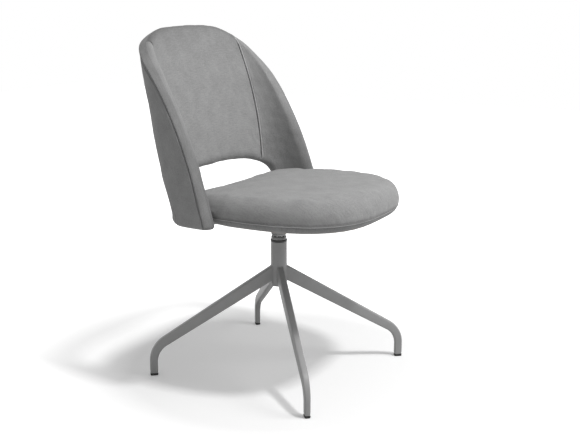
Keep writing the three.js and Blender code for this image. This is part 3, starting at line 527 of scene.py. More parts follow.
def legSurface():
    # sloped run, circular bend and upright foot; a round-cornered section whose depth tapers with the run.
    # The first ring lies on the column: each of its points runs up the slope until it meets the cylinder.
    slope = math.atan2(leg["junction"] - leg["cornerHeight"], leg["reach"] - leg["columnRadius"])
    half = (math.pi / 2 - slope) / 2
    tangent = leg["bend"] * math.tan(half)
    downhill = np.array([math.cos(slope), -math.sin(slope)])
    corner = np.array([leg["reach"], leg["cornerHeight"]])
    bendStart = corner - downhill * tangent
    centre = bendStart + leg["bend"] * np.array([-math.sin(slope), -math.cos(slope)])
    turn = np.linspace(0, math.pi / 2 - slope, leg["bendRows"])
    angle = math.pi / 2 - slope - turn
    arc = centre + leg["bend"] * np.stack([np.cos(angle), np.sin(angle)], 1)
    start = bendStart - downhill * (bendStart[0] - leg["columnRadius"]) / downhill[0]
    straight = start + (bendStart - start) * np.linspace(0, 1, leg["runRows"] + 1)[:-1, None]
    foot = np.array([leg["reach"], leg["foot"]])
    upright = arc[-1] + (foot - arc[-1]) * np.linspace(0, 1, leg["footRows"] + 1)[1:, None]
    line = np.concatenate([straight, arc, upright])
    tilt = np.concatenate([np.full(len(straight), slope), slope + turn, np.full(len(upright), math.pi / 2)])
    length = runAlong(np.pad(line, ((0, 0), (0, 1))))
    marks = length[[0, len(straight), len(straight) + len(arc) - 1]]
    depth, width = np.interp(length, marks, leg["depths"]), np.interp(length, marks, leg["widths"])
    inset = np.zeros(len(line))
    inset[-2:] = leg["endEase"]
    section = roundedRectangle(width - 2 * inset, depth - 2 * inset, leg["corner"])
    across, up = section[..., 0], section[..., 1]
    outX, outZ = np.sin(tilt)[:, None], np.cos(tilt)[:, None]
    points = np.stack([line[:, :1] + outX * up, across, line[:, 1:] + outZ * up], -1)
    lineX = np.sqrt(leg["columnRadius"] ** 2 - across[0] ** 2)
    back = (points[0, :, 0] - lineX) / math.cos(slope)
    points[0, :, 0] -= back * math.cos(slope)
    points[0, :, 2] += back * math.sin(slope)
    settled = leg["settleRows"]  # the next rings settle from that curve to a square one
    for row, share in enumerate(np.linspace(0, 1, settled + 1)[1:-1], 1):
        points[row] = points[0] + (points[settled] - points[0]) * share
    return points


def weldPath(ring):
    # the leg's first ring, pushed out to the middle of the bead
    return ring + unit(ring - ring.mean(0)) * weld["radius"] * weld["out"]


# rows are inset and height: eased sole, plain wall, small lip under the tube's end, plug inside it
glide = {"profile": [(7.0, 0.6), (2.4, 0.35), (1.6, 0.0), (0.9, 0.25), (0.3, 0.8), (0.0, 1.6), (-0.1, 4.4),
                     (0.25, 5.0), (0.25, 5.8), (0.6, 6.0), (2.4, 6.0), (2.4, 20.0), (4.5, 20.6)],
         "leastCorner": 0.6}


def glideSurface():
    # rounded rectangle rings from the sole up
    inset, height = np.array(glide["profile"]).T
    rings = roundedRectangle(leg["depths"][2] - 2 * inset, leg["widths"][2] - 2 * inset,
                             np.maximum(leg["corner"] - inset[:, None], glide["leastCorner"]))
    return withHeights(rings + np.array([leg["reach"], 0]), height)


legPoints, glidePoints = legSurface(), glideSurface()
for index, corner in enumerate(corners):
    placed = aboutAxis(legPoints, index)
    tubePiece(f"tube_leg_{corner}", "painted_steel", "base", [f"leg_{corner}"], placed)
    radius = weld["radius"] + weld["wave"] * np.sin(np.arange(placed.shape[1]) * weld["waveStep"])
    bead = tubeAlong(weldPath(placed[0]), radius, weld["facets"], True)
    addPiece(f"weld_leg_{corner}", "painted_steel", "base", (), [part(bead, True, True)])
    tubePiece(f"foot_glide_{corner}", "black_plastic", "base", [f"glide_{corner}"],
              aboutAxis(glidePoints, index))
print("chair: legs and glides made")


# column, collar, race and hub, as turned profiles of (radius, height)
def heightsOf(node):
    low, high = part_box(node)
    return low.z * 1000, high.z * 1000


turnedPieces = {"column": 20.4, "columnBore": 16.5, "collar": 20.9, "race": 19.5, "bore": 10.3,
                "hub": 19.6, "hubTop": 21.0, "ballRing": 15.0, "raceStep": 1.6, "bush": 16.2}
column, columnBore, collar, race, bore, hub, hubTop, ballRing, raceStep, bush = turnedPieces.values()
columnLow, columnHigh = heightsOf("column")
collarHigh = heightsOf("upper_bush")[1]
raceLow, raceHigh = heightsOf("lower_race")
upperLow, upperHigh = heightsOf("upper_race")
hubLow, hubHigh = heightsOf("hub_tube")
plateLow, plateHigh = heightsOf("mounting_plate")
ballLevel = (raceHigh + upperLow) / 2
stepAt = race - raceStep

# rows are piece, finish, body, node, profile and the rounding of its corners
turnedRows = [
    ("tube_column", "painted_steel", "base", "column",
     [(columnBore, columnLow), (column, columnLow), (column, columnHigh), (columnBore, columnHigh)], 0.8),
    ("collar_bush", "black_plastic", "base", "upper_bush",
     [(bore, columnHigh - 30), (bush, columnHigh - 30), (bush, columnHigh + 0.3), (collar, columnHigh + 0.3),
      (collar + 0.3, collarHigh - 1.6), (race + 0.6, collarHigh), (bore, collarHigh)],
     [0.5, 0.5, 0.3, 1.0, 1.6, 1.0, 0.4]),
    ("ring_race_lower", "bright_steel", "base", "lower_race",
     [(bore, raceLow), (race, raceLow), (race + 0.15, raceLow + 2.2), (race - 0.5, raceLow + 3),
      (race - 0.5, raceLow + 3.6), (race, raceLow + 4.4), (race, raceHigh - 1.8), (stepAt, raceHigh - 1.0),
      (stepAt, raceHigh), (ballRing + 0.9, raceHigh), (ballRing, raceHigh - 1.2), (ballRing - 2, raceHigh),
      (bore, raceHigh)], 0.35),
    ("ring_race_upper", "bright_steel", "seat", "upper_race",
     [(bore, upperLow), (ballRing - 2, upperLow), (ballRing, upperLow + 1.2), (ballRing + 0.9, upperLow),
      (stepAt, upperLow), (stepAt, upperLow + 2.2), (race, upperLow + 3.0), (race, upperHigh),
      (bore, upperHigh)], 0.35),
    ("tube_hub", "painted_steel", "seat", "hub_tube",
     [(hub - 3, hubLow), (hub, hubLow), (hubTop, hubHigh - 1.5), (hubTop + 1.6, hubHigh),
      (hubTop - 3, hubHigh)],
     [0.6, 0.9, 1.6, 0.5, 0.5])]
for name, finish, body, node, profile, radius in turnedRows:
    addPiece(name, finish, body, [node], [lathe(rounded(profile, radius))])
capLip = columnLow - 0.3
capProfile = [(0.0, columnLow - 2.9), (9.0, columnLow - 2.9), (17.6, columnLow - 2.3), (18.5, capLip),
              (bush, capLip), (bush, columnLow + 4), (14.6, columnLow + 4), (14.6, capLip), (0.0, capLip)]
addPiece("cap_column", "black_plastic", "base", ["column_cap"],
         [lathe(rounded(capProfile, 0.6, 4, False), False)])


# the cage lies in from the ball ring and out to its rim; the gap's reach and shift shape its dips
cage = {"balls": 10, "ball": 2.2, "ballAt": 13.6, "inner": 2.2, "innerHalf": 0.7, "rim": 2.8, "rimHalf": 1.3,
        "edge": 0.35, "gapReach": 3, "gapShift": 0.8, "gapDepth": 5.0}


def ballPoints(centre, radius, rows=12, columns=18):
    # a sphere by height and turn, closed at its poles
    tilt = np.linspace(-np.pi / 2, np.pi / 2, rows)[:, None]
    turn = fullTurn(columns)
    level = radius * np.cos(tilt)
    return stacked(level * np.cos(turn), level * np.sin(turn), radius * np.sin(tilt)) + centre


def cagePoints(facets=240):
    # a flat ring with rounded edges whose outer edge dips in at each ball
    half = [(ballRing - cage["inner"], cage["innerHalf"]), (ballRing + cage["rim"], cage["rimHalf"])]
    profile = [(radius, ballLevel - rise) for radius, rise in half]
    profile = rounded(profile + [(radius, ballLevel + rise) for radius, rise in half[::-1]], cage["edge"])
    turn = fullTurn(facets)
    gap = within(np.cos(cage["balls"] * turn) * cage["gapReach"] + cage["gapShift"])
    outer = within((profile[:, 0] - ballRing) / cage["rim"])[:, None]
    return roundAxis(profile[:, :1] - outer * gap * cage["gapDepth"], turn, profile[:, 1:])


ballTurns = np.arange(cage["balls"]) * 2 * np.pi / cage["balls"]
ballPlaces = roundAxis(cage["ballAt"], ballTurns, ballLevel)
balls = [part(ballPoints(place, cage["ball"]), False, True) for place in ballPlaces]
addPiece("race_balls", "bright_steel", "bearing", ["ball_cage"], balls)
addPiece("race_cage", "bright_steel", "bearing", (), [part(cagePoints(), True, True)])
print("chair: column and race made")


# mounting plate and bolts; the edge's rows are inset and drop, a bolt's are head, rise, socket and shank
plate = {"width": 180.0, "corner": 14.0, "cornerSteps": 8, "edge": [(1.0, 0.0), (0.35, 0.35), (0.0, 1.0)]}
bolts = {"plate_bolt": (5.5, 3.0, 2.3, 3.0), "strap_screw": (4.2, 2.2, 1.6, 2.0)}
button = {"side": 0.45, "top": 0.62, "lip": 0.3, "floor": 0.35, "easing": [0, 0, 0.3, 1.4, 0.8, 0]}


def plateSurface():
    # a round-cornered square closed by rings with eased edges
    inset, drop = np.array(plate["edge"]).T
    insets = np.concatenate([inset, inset[::-1]])
    levels = np.concatenate([plateHigh - drop, (plateLow + drop)[::-1]])
    width = plate["width"] - 2 * insets
    rings = roundedRectangle(width, width, plate["corner"] - insets[:, None], plate["cornerSteps"])
    return withHeights(rings, levels) + np.array([0, axisY, 0])


def boltHead(centre, level, length, head, rise, socket, shank, facets=48):
    # a button head below its seat, with a six-sided socket, and the shank above it
    under = level - rise
    outer = [(shank, level + length), (shank, level), (head, level), (head, level - rise * button["side"]),
             (head * button["top"], under), (socket + button["lip"], under)]
    outer = rounded(outer, button["easing"], 4, False)
    turn = fullTurn(facets)
    circle = np.stack([np.cos(turn), np.sin(turn)], -1)
    sixSided = (socket / np.cos((turn + np.pi / 6) % (np.pi / 3) - np.pi / 6))[:, None] * circle
    middle = np.zeros((1, facets, 2))
    flat = np.concatenate([middle, outer[:, :1, None] * circle, sixSided[None], sixSided[None], middle])
    floor = level - rise * button["floor"]
    heights = np.concatenate([[level + length], outer[:, 1], [under, floor, floor]])
    return part(withHeights(flat, heights) + np.array([*centre, 0]), False, True)


tubePiece("plate_seat", "painted_steel", "seat", ["mounting_plate"], plateSurface())
for kind, measures in bolts.items():
    for node in sorted(name for name in frame["nodes"] if name.startswith(kind)):
        low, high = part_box(node)
        place = ((low.x + high.x) * 500, (low.y + high.y) * 500)
        level = low.z * 1000 + measures[1]
        head = boltHead(place, level, high.z * 1000 - level, *measures)
        addPiece(f"{node}_head", "zinc_steel", "seat", [node], [head])
print("chair: plate and bolts made")


# back shell: a superellipse in plan that changes with height, cut by a rim curve and a window curve
shell = {"bottom": 412.0, "half": 18.85, "lowRise": 108.0, "highRise": 388.0, "sideLow": 252.0,
         "sideHigh": 236.0, "rearLow": 198.0, "rearHigh": 263.0, "depth": 180.0, "square": 4.42, "bed": 4.8,
         "pocket": 15.7, "noseRun": 22.0, "nosePower": 1.3, "noseApex": -5.0, "windowRoll": 38.0,
         "windowWrap": 40.0, "wrapPlaces": (0, 3, 6, 8, 10, 16), "rimRoll": (14, 11, 13, 9, 7, 10),
         "rimWrap": (16, 14, 19, 21, 21, 23), "seamPlace": 10.0, "medianPlace": 16.0, "seamBow": 4.2,
         "bowSpread": 3.5, "heel": 2.0, "heelRise": 12.0, "heelSpread": 8.0, "heelShare": 1.15, "toe": 1.1,
         "toeSpread": 26.0, "toeShare": 0.4, "cornerRim": 15.0, "cornerWindow": 16.0, "bottomRound": 8.0,
         "stillRise": 12.0, "angleStep": 1e-4, "heightStep": 0.02, "curveSteps": 601, "rowSteps": 41,
         "noseSteps": 27, "bedSteps": 10}
shellBottom, halfThick, seamPlace, medianPlace = (
    shell[key] for key in ("bottom", "half", "seamPlace", "medianPlace"))
fold = [(3.6, 0.0), (2.2, 0.12), (1.1, 0.5), (0.4, 1.1)]  # drop from the outer face and gap to the edge


def shellLevel(height):
    # the half width and the plan's centre change evenly with height
    share = (height - shellBottom - shell["lowRise"]) / (shell["highRise"] - shell["lowRise"])
    side = shell["sideLow"] + (shell["sideHigh"] - shell["sideLow"]) * share
    centre = shell["rearLow"] + (shell["rearHigh"] - shell["rearLow"]) * share - shell["depth"]
    return side, centre


def superellipse(across, ahead, side, depth, power):
    # the radius at which the sum of both shares to a power is one
    return (np.abs(across / side) ** power + np.abs(ahead / depth) ** power) ** (-1 / power)


def planRadius(angle, side):
    return superellipse(np.sin(angle), np.cos(angle), side, shell["depth"], shell["square"])


def shellMiddle(angle, height):
    # angle from the rear median; x is radius times sine, y the level's centre plus radius times cosine
    side, centre = shellLevel(height)
    radius = planRadius(angle, side)
    return np.stack([radius * np.sin(angle), centre + radius * np.cos(angle) + axisY, height], -1)


def shellNormal(angle, height):
    # both differences of the middle surface, crossed
    aside, above = shell["angleStep"], shell["heightStep"]
    across = shellMiddle(angle + aside, height) - shellMiddle(angle - aside, height)
    upward = shellMiddle(angle, height + above) - shellMiddle(angle, height - above)
    return unit(np.cross(upward, across))


def edgeCurve(halfAngle, rise, angleSquare, riseSquare, seamAngle):
    # from a wing's bottom to the median: angle falls as a power of cosine, height grows as a power of sine
    turn = np.linspace(0, np.pi / 2, shell["curveSteps"])
    angle = math.radians(halfAngle) * np.maximum(np.cos(turn), 0) ** (2 / angleSquare)
    angle[-1] = 0
    height = shellBottom + rise * np.sin(turn) ** (2 / riseSquare)
    run = runAlong(shellMiddle(angle, height))
    seam = run[np.argmax(angle <= math.radians(seamAngle))]
    return {"angle": angle, "height": height, "run": run, "seam": seam}


rimCurve = edgeCurve(halfAngle=83.3, rise=447.5, angleSquare=4.1, riseSquare=1.66, seamAngle=49)
windowCurve = edgeCurve(halfAngle=56.3, rise=101.5, angleSquare=2.8, riseSquare=4.9, seamAngle=49.8)


def curveAt(curve, place):
    # place 0 is a wing's bottom, 10 the seam beside the back, 16 the median; even runs between them
    seam, total = curve["seam"], curve["run"][-1]
    beyond = seam + (total - seam) * (place - seamPlace) / (medianPlace - seamPlace)
    run = np.where(place <= seamPlace, seam * place / seamPlace, beyond)
    return [np.interp(run, curve["run"], curve[key]) for key in ("angle", "height")]


def cornerTrim(radius, rise):
    # how far a round corner of that radius keeps the edge in, at a rise above the bottom
    below = np.clip(radius - rise, 0, radius)
    return radius - np.sqrt(radius ** 2 - below ** 2)


def bellOf(value, middle, spread):
    # e to the power of minus the squared distance over the spread
    return np.exp(-((value - middle) / spread) ** 2)


def shellGrid(place, side, stations, offsets):
    # rows cross the shell from its window edge to its rim; a station is start + share * length along the row,
    # less its shares of the rim's roll and wrap, and stands off the middle surface by its offset, which fades
    # round the wing's bottom edge; the seam's rows bow outwards, toe and heel swell a little at the bottom
    window, rim = curveAt(windowCurve, place), curveAt(rimCurve, place)

    def crossing(share):
        return [first[:, None] + (last - first)[:, None] * share for first, last in zip(window, rim)]

    even = np.linspace(0, 1, shell["rowSteps"])
    run = runAlong(shellMiddle(*crossing(even)), 1)
    length = run[:, -1:]
    trims = [cornerTrim(shell[key], edge[1] - shellBottom)[:, None]
             for key, edge in (("cornerWindow", window), ("cornerRim", rim))]
    roll, wrap = (np.interp(place, shell["wrapPlaces"], shell[key])[:, None] for key in ("rimRoll", "rimWrap"))
    start, share, rollShare, wrapShare = stations[:, [0, 1, 4, 5]].T
    distance = start + share * length - rollShare * roll - wrapShare * wrap
    placeShare = distance / length
    distance = trims[0] + distance * (length - trims[0] - trims[1]) / length
    share = np.stack([np.interp(d, r, even) for d, r in zip(distance, run)])
    angle, height = crossing(share)
    bow = bellOf(place[:, None], seamPlace, shell["bowSpread"]) * 4 * (share * (1 - share)).clip(0)
    angle += math.radians(shell["seamBow"]) * bow * (place < medianPlace)[:, None]
    heel = bellOf(height, shellBottom + shell["heelRise"], shell["heelSpread"])
    heel *= within(shell["heelShare"] - share)
    toe = bellOf(height, shellBottom, shell["toeSpread"]) * within(share / shell["toeShare"])
    angle = (angle + math.radians(shell["toe"]) * toe - math.radians(shell["heel"]) * heel) * side[:, None]
    rise = within((height - shellBottom) / shell["bottomRound"])
    fade = 1 - shell["bottomRound"] / halfThick * (1 - np.sqrt(1 - (1 - rise) ** 2))
    normal = shellNormal(angle, height)
    return shellMiddle(angle, height) + normal * (offsets * fade)[..., None], normal, placeShare


def outwardNormals(points, inward):
    # normals of a grid whose columns close, turned so that a known inner column faces against `inward`
    down = np.gradient(points, axis=0)
    along = np.roll(points, -1, 1) - np.roll(points, 1, 1)
    normal = unit(np.cross(down, along))
    middle = points.shape[1] // 4
    facing = np.sign((normal[:, middle] * inward[:, middle]).sum(-1).mean())
    return -normal * facing


def padStations(rows):
    # closed section from the window's outer fold over the inner face to the rim's, and back along the core's
    # bed, the noses as quarter turns; columns are start, share, offset, shown, roll, wrap
    half, near, run = halfThick, shell["windowWrap"], shell["noseRun"]
    bed, pocket, apex = shell["bed"], shell["pocket"], shell["noseApex"]
    turn = np.linspace(-np.pi / 2, np.pi / 2, shell["noseSteps"])
    outside = turn < 0
    power = np.where(outside, shell["nosePower"], 1)  # the nose is a little flatter on its outer half
    roll, swing = 1 - np.cos(turn).clip(0) ** power, np.abs(np.sin(turn)) ** power
    off = np.where(outside, half, -half) * swing
    rimOff = apex + np.where(outside, half - apex, -half - apex) * swing
    window = [(near - gap, 0, half - drop, 1, 0, 0) for drop, gap in fold]
    window += [(rolled * (shell["windowRoll"] if out else run), 0, offset, 1, 0, 0)
               for rolled, offset, out in zip(roll, off, outside)]
    face = [(run * (1 - 2 * share), share, -half, 1, 0, 0) for share in np.linspace(0, 1, rows + 2)[1:-1]]
    rim = [(0, 1, offset, 1, rolled, 0) if out else (-run * rolled, 1, offset, 1, 0, 0)
           for rolled, offset, out in zip(roll, rimOff, outside)][::-1]
    rim += [(gap, 1, half - drop, 1, 0, 1) for drop, gap in [(0.0, 4.0), *fold[::-1]]]
    inner = [(0, 1, bed, 0, 0, 1), (-pocket, 1, bed, 0, 0, 0), (-pocket, 1, -bed, 0, 0, 0)]
    inner += [(-pocket * (1 - 2 * share), 1 - share, -bed, 0, 0, 0)
              for share in np.linspace(0, 1, shell["bedSteps"])[1:-1]]
    inner += [(pocket, 0, -bed, 0, 0, 0), (pocket, 0, bed, 0, 0, 0), (near, 0, bed, 0, 0, 0)]
    return np.array(window + face + rim + inner)


cover = {"rows": 44, "gap": 0.3, "faceIn": 7.0, "swell": 1.1, "swellPower": 0.7, "face": 0.5,
         "roll": [*fold[:3], (0.4, 1.2), (0.1, 2.4), (0.0, 4.5)], "ripples": [(0.6, 95, 7), (0.25, 30, 8)]}


def coverStations(rows):
    # closed section of the outer panel: its edges roll in to the seams, its face is full between them
    half, bed, gapAt, faceIn = halfThick, shell["bed"], cover["gap"], cover["faceIn"]
    near = shell["windowWrap"] + gapAt
    outer = [(near + gap, 0, half - drop, 1, 0, 0) for drop, gap in cover["roll"]]
    outer += [(near + faceIn - (near + gapAt + 2 * faceIn) * share, share, half, 1, 0, share)
              for share in np.linspace(0, 1, rows + 2)[1:-1]]
    outer += [(-gapAt - gap, 1, half - drop, 1, 0, 1) for drop, gap in cover["roll"][::-1]]
    inner = [(-gapAt + (near + gapAt) * share, 1 - share, bed, 0, 0, 1 - share)
             for share in np.linspace(0, 1, shell["bedSteps"])]
    return np.array(outer + inner)


# rows stand close together near a wing's bottom and beside the seam
nearBottom = [0, 0.008, 0.02, 0.035, 0.055, 0.08, 0.11, 0.15, 0.2, 0.26, 0.33, 0.42, 0.52, 0.64, 0.78, 0.9]
beforeSeam = [0.9, 0.7, 0.55, 0.42, 0.32, 0.24, 0.18, 0.135, 0.1, 0.075, 0.055, 0.038, 0.024, 0.012, 0.004]
afterSeam = [0.004, 0.01, 0.02, 0.032, 0.046, 0.064, 0.086, 0.115, 0.15, 0.2, 0.27, 0.36, 0.46]
wingPlaces = np.concatenate([nearBottom, np.arange(1.0, 9.05, 0.1), seamPlace - np.array(beforeSeam)])
centreHalf = np.concatenate([seamPlace + np.array(afterSeam), np.arange(10.56, medianPlace, 0.08)])
coverHalf = np.concatenate([wingPlaces[wingPlaces < 8.95], np.arange(9.0, medianPlace, 0.08)])


def mirrored(half):
    # rows on the sitter's right, the median and the same rows on the left, with the side of each
    place = np.concatenate([half, [medianPlace], half[::-1]])
    return place, np.where(np.arange(len(place)) <= len(half), -1.0, 1.0)


# entries named for shade, and the wing's low and high, set painted shade: dark seam and fold lines, darker
# noses and rim, wings darker low and lighter high
cloth = {"grooveDepth": 3.6, "grooveWidth": 2.4, "ridge": 0.4, "ridgeAt": 7.0, "ridgeWidth": 4.0,
         "wingDip": 6.4, "wingReach": 21.0, "backDip": 6.4, "backReach": 34.0, "wingShade": 0.5,
         "backShade": 3.6, "wingRows": 40, "backRows": 64, "foldShade": 0.3, "foldReach": 4.0,
         "foldStart": 0.3, "foldSpread": 1.5, "noseShade": 0.56, "nosePower": 1.5, "rimShade": 0.4,
         "rimReach": 0.16,
         "wingShadeLow": 0.22, "wingShadeHigh": -0.36, "wingFrom": 530.0, "wingSpan": 120.0, "deepPower": 2.2,
         "swell": 0.8, "ripples": [(0.5, 85, 3), (0.22, 26, 4)]}
# the cord's light below 0 paints it lighter: a painted highlight along its top
cord = {"aside": 2.3, "radius": 2.3, "facets": 12, "sunk": 6.6, "sunkPower": 0.7, "end": 2.2, "endRows": 8,
        "light": -0.9, "start": 0.25, "besidePlace": 0.2, "middleRow": 30}
windowCreases = [(-186, 548, 34, 62, 3.6, 1.8), (-172, 556, 40, 66, 4.2, -1.6), (-150, 553, 30, 74, 5.0, 1.2),
                 (176, 552, 30, 118, 4.4, 1.2), (-30, 548, 26, 84, 6.0, 0.8), (-100, 566, 36, 80, 7.0, -0.8)]
creaseBend = 0.012


def seamShape(distance, dip, reach):
    # pulled in as a narrow bell at the seam, a low bell beside it where the allowance lies under the cloth,
    # and a dip that fades away from the seam, so that the panel rises from it as a pillow does
    groove = -cloth["grooveDepth"] * bellOf(distance, 0, cloth["grooveWidth"])
    groove -= dip * np.exp(-distance / reach)
    return groove + cloth["ridge"] * bellOf(distance, cloth["ridgeAt"], cloth["ridgeWidth"])


def foldMask(stations):
    # grows to 1 over the last few millimetres of an outer fold, where the cloth tucks in beside its seam and
    # gets painted shade
    drop = halfThick - stations[:, 2]
    mask = (drop < cloth["foldReach"]) * within((drop - cloth["foldStart"]) / cloth["foldSpread"])
    return stations[:, 3] * mask * (np.abs(stations[:, 0]) > 0)


def noseMask(stations):
    # 1 round the outer half of the rim's nose, where it gets painted shade, falling on its inner half
    inward = within(1 + stations[:, 0] / shell["noseRun"]) ** cloth["nosePower"]
    return (stations[:, 1] == 1) * stations[:, 3] * inward


def shownShare(points, stations):
    # 1 where cloth is seen, less near the wing's bottom, where it lies still
    above = within((points[..., 2] - shellBottom) / shell["stillRise"])
    return stations[:, 3] * above ** 0.5


def deepShare(stations, power):
    # 1 on the inner face, falling to 0 half way round each nose
    return within(-stations[:, 2] / halfThick) ** power


def padPanel(name, place, side, seams, faceRows):
    # one sewn panel of the inner padding; seams are the row numbers (0 or -1) that meet another panel
    stations = padStations(faceRows)
    points, normal, share = shellGrid(place, side, stations, stations[:, 2])
    outward = outwardNormals(points, normal)
    rise, shade = np.zeros(points.shape[:2]), np.zeros(points.shape[:2])
    kind = "wing" if len(seams) == 1 else "back"
    deep = deepShare(stations, cloth["deepPower"])
    for row in seams:
        run = runAlong(points) if row == 0 else runAlong(points[::-1])[::-1]
        rise += seamShape(run, cloth[kind + "Dip"], cloth[kind + "Reach"]) * deep
        # painted shade along the seam's groove: a dark line, wide on the back panel's side and narrow on the
        # wing's
        shade += np.exp(-(run / cloth[kind + "Shade"]) ** 4) * deep
    # painted shade in the crease of each outer fold and over the rim's nose
    shade += cloth["foldShade"] * foldMask(stations) + cloth["noseShade"] * noseMask(stations)
    inside = (stations[:, 2] < 0) * 1.0
    share = within(share)
    # painted shade: the back panel's inner face darker towards the rim
    if kind == "back":
        shade += cloth["rimShade"] * np.exp(-(1 - share) / cloth["rimReach"]) * inside
    else:
        # painted shade and painted light: each wing's inner face darker low down and lighter high up
        up = within((points[..., 2] - cloth["wingFrom"]) / cloth["wingSpan"])
        shade += (cloth["wingShadeLow"] + (cloth["wingShadeHigh"] - cloth["wingShadeLow"]) * up) * inside
    swell = 4 * share * (1 - share) * inside
    calm = within(2 - 2 * stations[:, 2] / halfThick)  # the sewn outer edge lies still
    rise += ripples(points, cloth["ripples"]) * calm + cloth["swell"] * swell
    rise += creaseRise(points[..., 0], points[..., 2], windowCreases, creaseBend) * inside
    points = points + outward * (rise * shownShare(points, stations))[..., None]
    caps = endCaps(points)
    if kind == "wing":  # the wing's bottom closes on its middle line
        end = shellGrid(place[:1], side[:1], stations, np.zeros(len(stations)))[0]
        points, shade = np.concatenate([end, points]), np.concatenate([shade[:1], shade])
        caps = endCaps(points)[1:]
    return clothPiece(name, ["back_pad"], [part(points, False, True)], caps=caps, shade=shade)


def outerPanel(name):
    # the outer panel in one piece from wing to wing, a little full between its seams
    place, side = mirrored(coverHalf)
    stations = coverStations(cover["rows"])
    points, normal, share = shellGrid(place, side, stations, stations[:, 2])
    share = within(share)
    full = within(4 * share * (1 - share))
    rise = cover["swell"] * full ** cover["swellPower"]
    rise += ripples(points, cover["ripples"]) * within(3 * full)
    face = (stations[:, 2] > halfThick - cover["face"]) * 1.0
    points = points + normal * (rise * shownShare(points, stations) * face)[..., None]
    ends = [shellGrid(place[[row]], side[[row]], stations, np.zeros(len(stations)))[0] for row in (0, -1)]
    points = np.concatenate([ends[0], points, ends[1]])
    # painted shade in the crease of each outer fold
    shade = cloth["foldShade"] * foldMask(stations) * np.ones((len(points), 1))
    return clothPiece(name, ["back_cover"], [part(points, False, True)], shade=shade)


def seamCord(name, sign):
    # a slim piping in the seam beside the back, over the inner face from nose to nose
    stations = padStations(cloth["backRows"])
    stations = stations[(stations[:, 3] > 0) & (stations[:, 2] < -cord["start"] * halfThick)]
    places = np.array([seamPlace, seamPlace - cord["besidePlace"]])
    (line, beside), normal, _ = shellGrid(places, np.full(2, float(sign)), stations, stations[:, 2])
    aside = unit(beside - line)
    outward = unit(np.cross(aside, np.gradient(line, axis=0)))
    middle = cord["middleRow"]
    outward *= -np.sign((outward[middle] * normal[0, middle]).sum())
    row = np.arange(len(line))
    ends = within(np.minimum(row, row[::-1]) / cord["endRows"])[:, None]
    sunk = cord["sunk"] * deepShare(stations, cord["sunkPower"])[:, None] + cord["end"] * (1 - ends) ** 2
    tube = tubeAlong(line + aside * cord["aside"] - outward * sunk, cord["radius"], cord["facets"])
    # painted highlight: the piping's colour is lightened all along
    return tubePiece(name, "grey_fabric", "seat", (), tube, shade=np.full(tube.shape[:2], cord["light"]))


pads = [padPanel(f"pad_wing_{word}", wingPlaces, np.full(len(wingPlaces), sign), [-1], cloth["wingRows"])
        for word, sign in sides.items()]
pads.append(padPanel("pad_back", *mirrored(centreHalf), [0, -1], cloth["backRows"]))
pads.append(outerPanel("panel_back_outer"))
for word, sign in sides.items():
    seamCord(f"piping_back_{word}", sign)
print("chair: back made")


# seat: outline, cushion, border, welt and lining
seat = {"bottom": 413.0, "side": 242.0, "front": 292.0, "rear": 155.0, "frontSquare": 2.8,
        "rearSquare": 5.0, "gap": 5.4, "blend": 20.0, "wingAngle": 83, "seam": 433.0, "rise": 57.5,
        "crown": 6.0, "roll": 39.7, "fullness": 0.86, "tilt": 0.031, "rearDrop": 20.0, "dropReach": 200.0,
        "belly": 3.2, "bellyFront": 1.6, "bellyRise": 27.0, "bellyFade": 4, "tuck": 1.0, "shadeRise": 1.1,
        "shadeEnd": 99}
wingSide, wingCentre = shellLevel(shellBottom)
wingEnd = shellMiddle(np.array(math.radians(seat["wingAngle"])), np.array(shellBottom))
wingFront = wingEnd[1] - axisY


def seatOutline(turn):
    # distance from the seat's middle: two half superellipses, held clear of the wings between them
    forward, across = -np.sin(turn), np.cos(turn)
    reach = np.where(forward >= 0, seat["front"], seat["rear"])
    power = np.where(forward >= 0, seat["frontSquare"], seat["rearSquare"])
    radius = superellipse(forward, across, reach, seat["side"], power)
    free = np.stack([radius * across, -radius * forward], -1)
    centre = np.array([0, wingCentre])
    fromCentre = free - centre
    limit = planRadius(np.arctan2(np.abs(fromCentre[..., 0]), fromCentre[..., 1]), wingSide)
    reach = np.linalg.norm(fromCentre, axis=-1)
    held = np.minimum(limit - halfThick - seat["gap"], reach) / reach
    held = fromCentre * held[..., None] + centre
    share = within((free[..., 1] - wingFront + seat["blend"]) / (2 * seat["blend"]))
    share = (share * share * (3 - 2 * share))[..., None]
    return np.linalg.norm(free + (held - free) * share, axis=-1)


def dressed(points):
    # the top rises a little to the front and falls away towards the rear edge
    up = within((points[..., 2] - seat["seam"]) / seat["rise"])
    behind = within((points[..., 1] - axisY) / seat["dropReach"])
    lift = up * (-seat["tilt"] * (points[..., 1] - axisY) - seat["rearDrop"] * behind ** 2)
    return points + lift[..., None] * np.array([0, 0, 1.0])


def seatRings(insets, heights, facets):
    # rings round the seat, each at an inset from the outline and a height; insets may vary round the ring
    turn = fullTurn(facets)
    return roundAxis(seatOutline(turn)[None] - insets, turn, np.asarray(heights)[:, None])


def bellyAt(turn):
    # how far the seam lies in under the fullest level: most at the front, none between the wings
    forward = within(-np.sin(turn)) ** 2
    beside = within(1 - np.sin(turn) * seat["bellyFade"])
    return seat["belly"] * beside + seat["bellyFront"] * forward


def seamShade(away):
    # painted shade: 1 at the seam, falling off with the distance from it
    return np.exp(-np.clip(away, 0, seat["shadeEnd"]) / seat["shadeRise"])


cushion = {"grid": 96, "crownShare": 0.745, "seamIn": 0.6, "floor": 426.8, "floorInset": 30.0,
           "lipInset": 5, "lipRise": 0.3, "mapSides": (0.29, 0.28), "pressure": 4.0, "cap": 1.8,
           "spare": 0.02, "heldRise": 4, "dentFade": 0.16, "ripples": [(0.7, 110, 21), (0.25, 42, 22)]}
dents = [(-158, -122, 95, -55, 11, 1.7), (-128, -98, 100, -52, 14, -1.5), (-50, -135, 75, 62, 17, 1.2),
         (-95, -140, 70, 66, 15, -1.1), (-200, -165, 50, -20, 12, 1.0), (90, -60, 90, 100, 30, -1.0)]


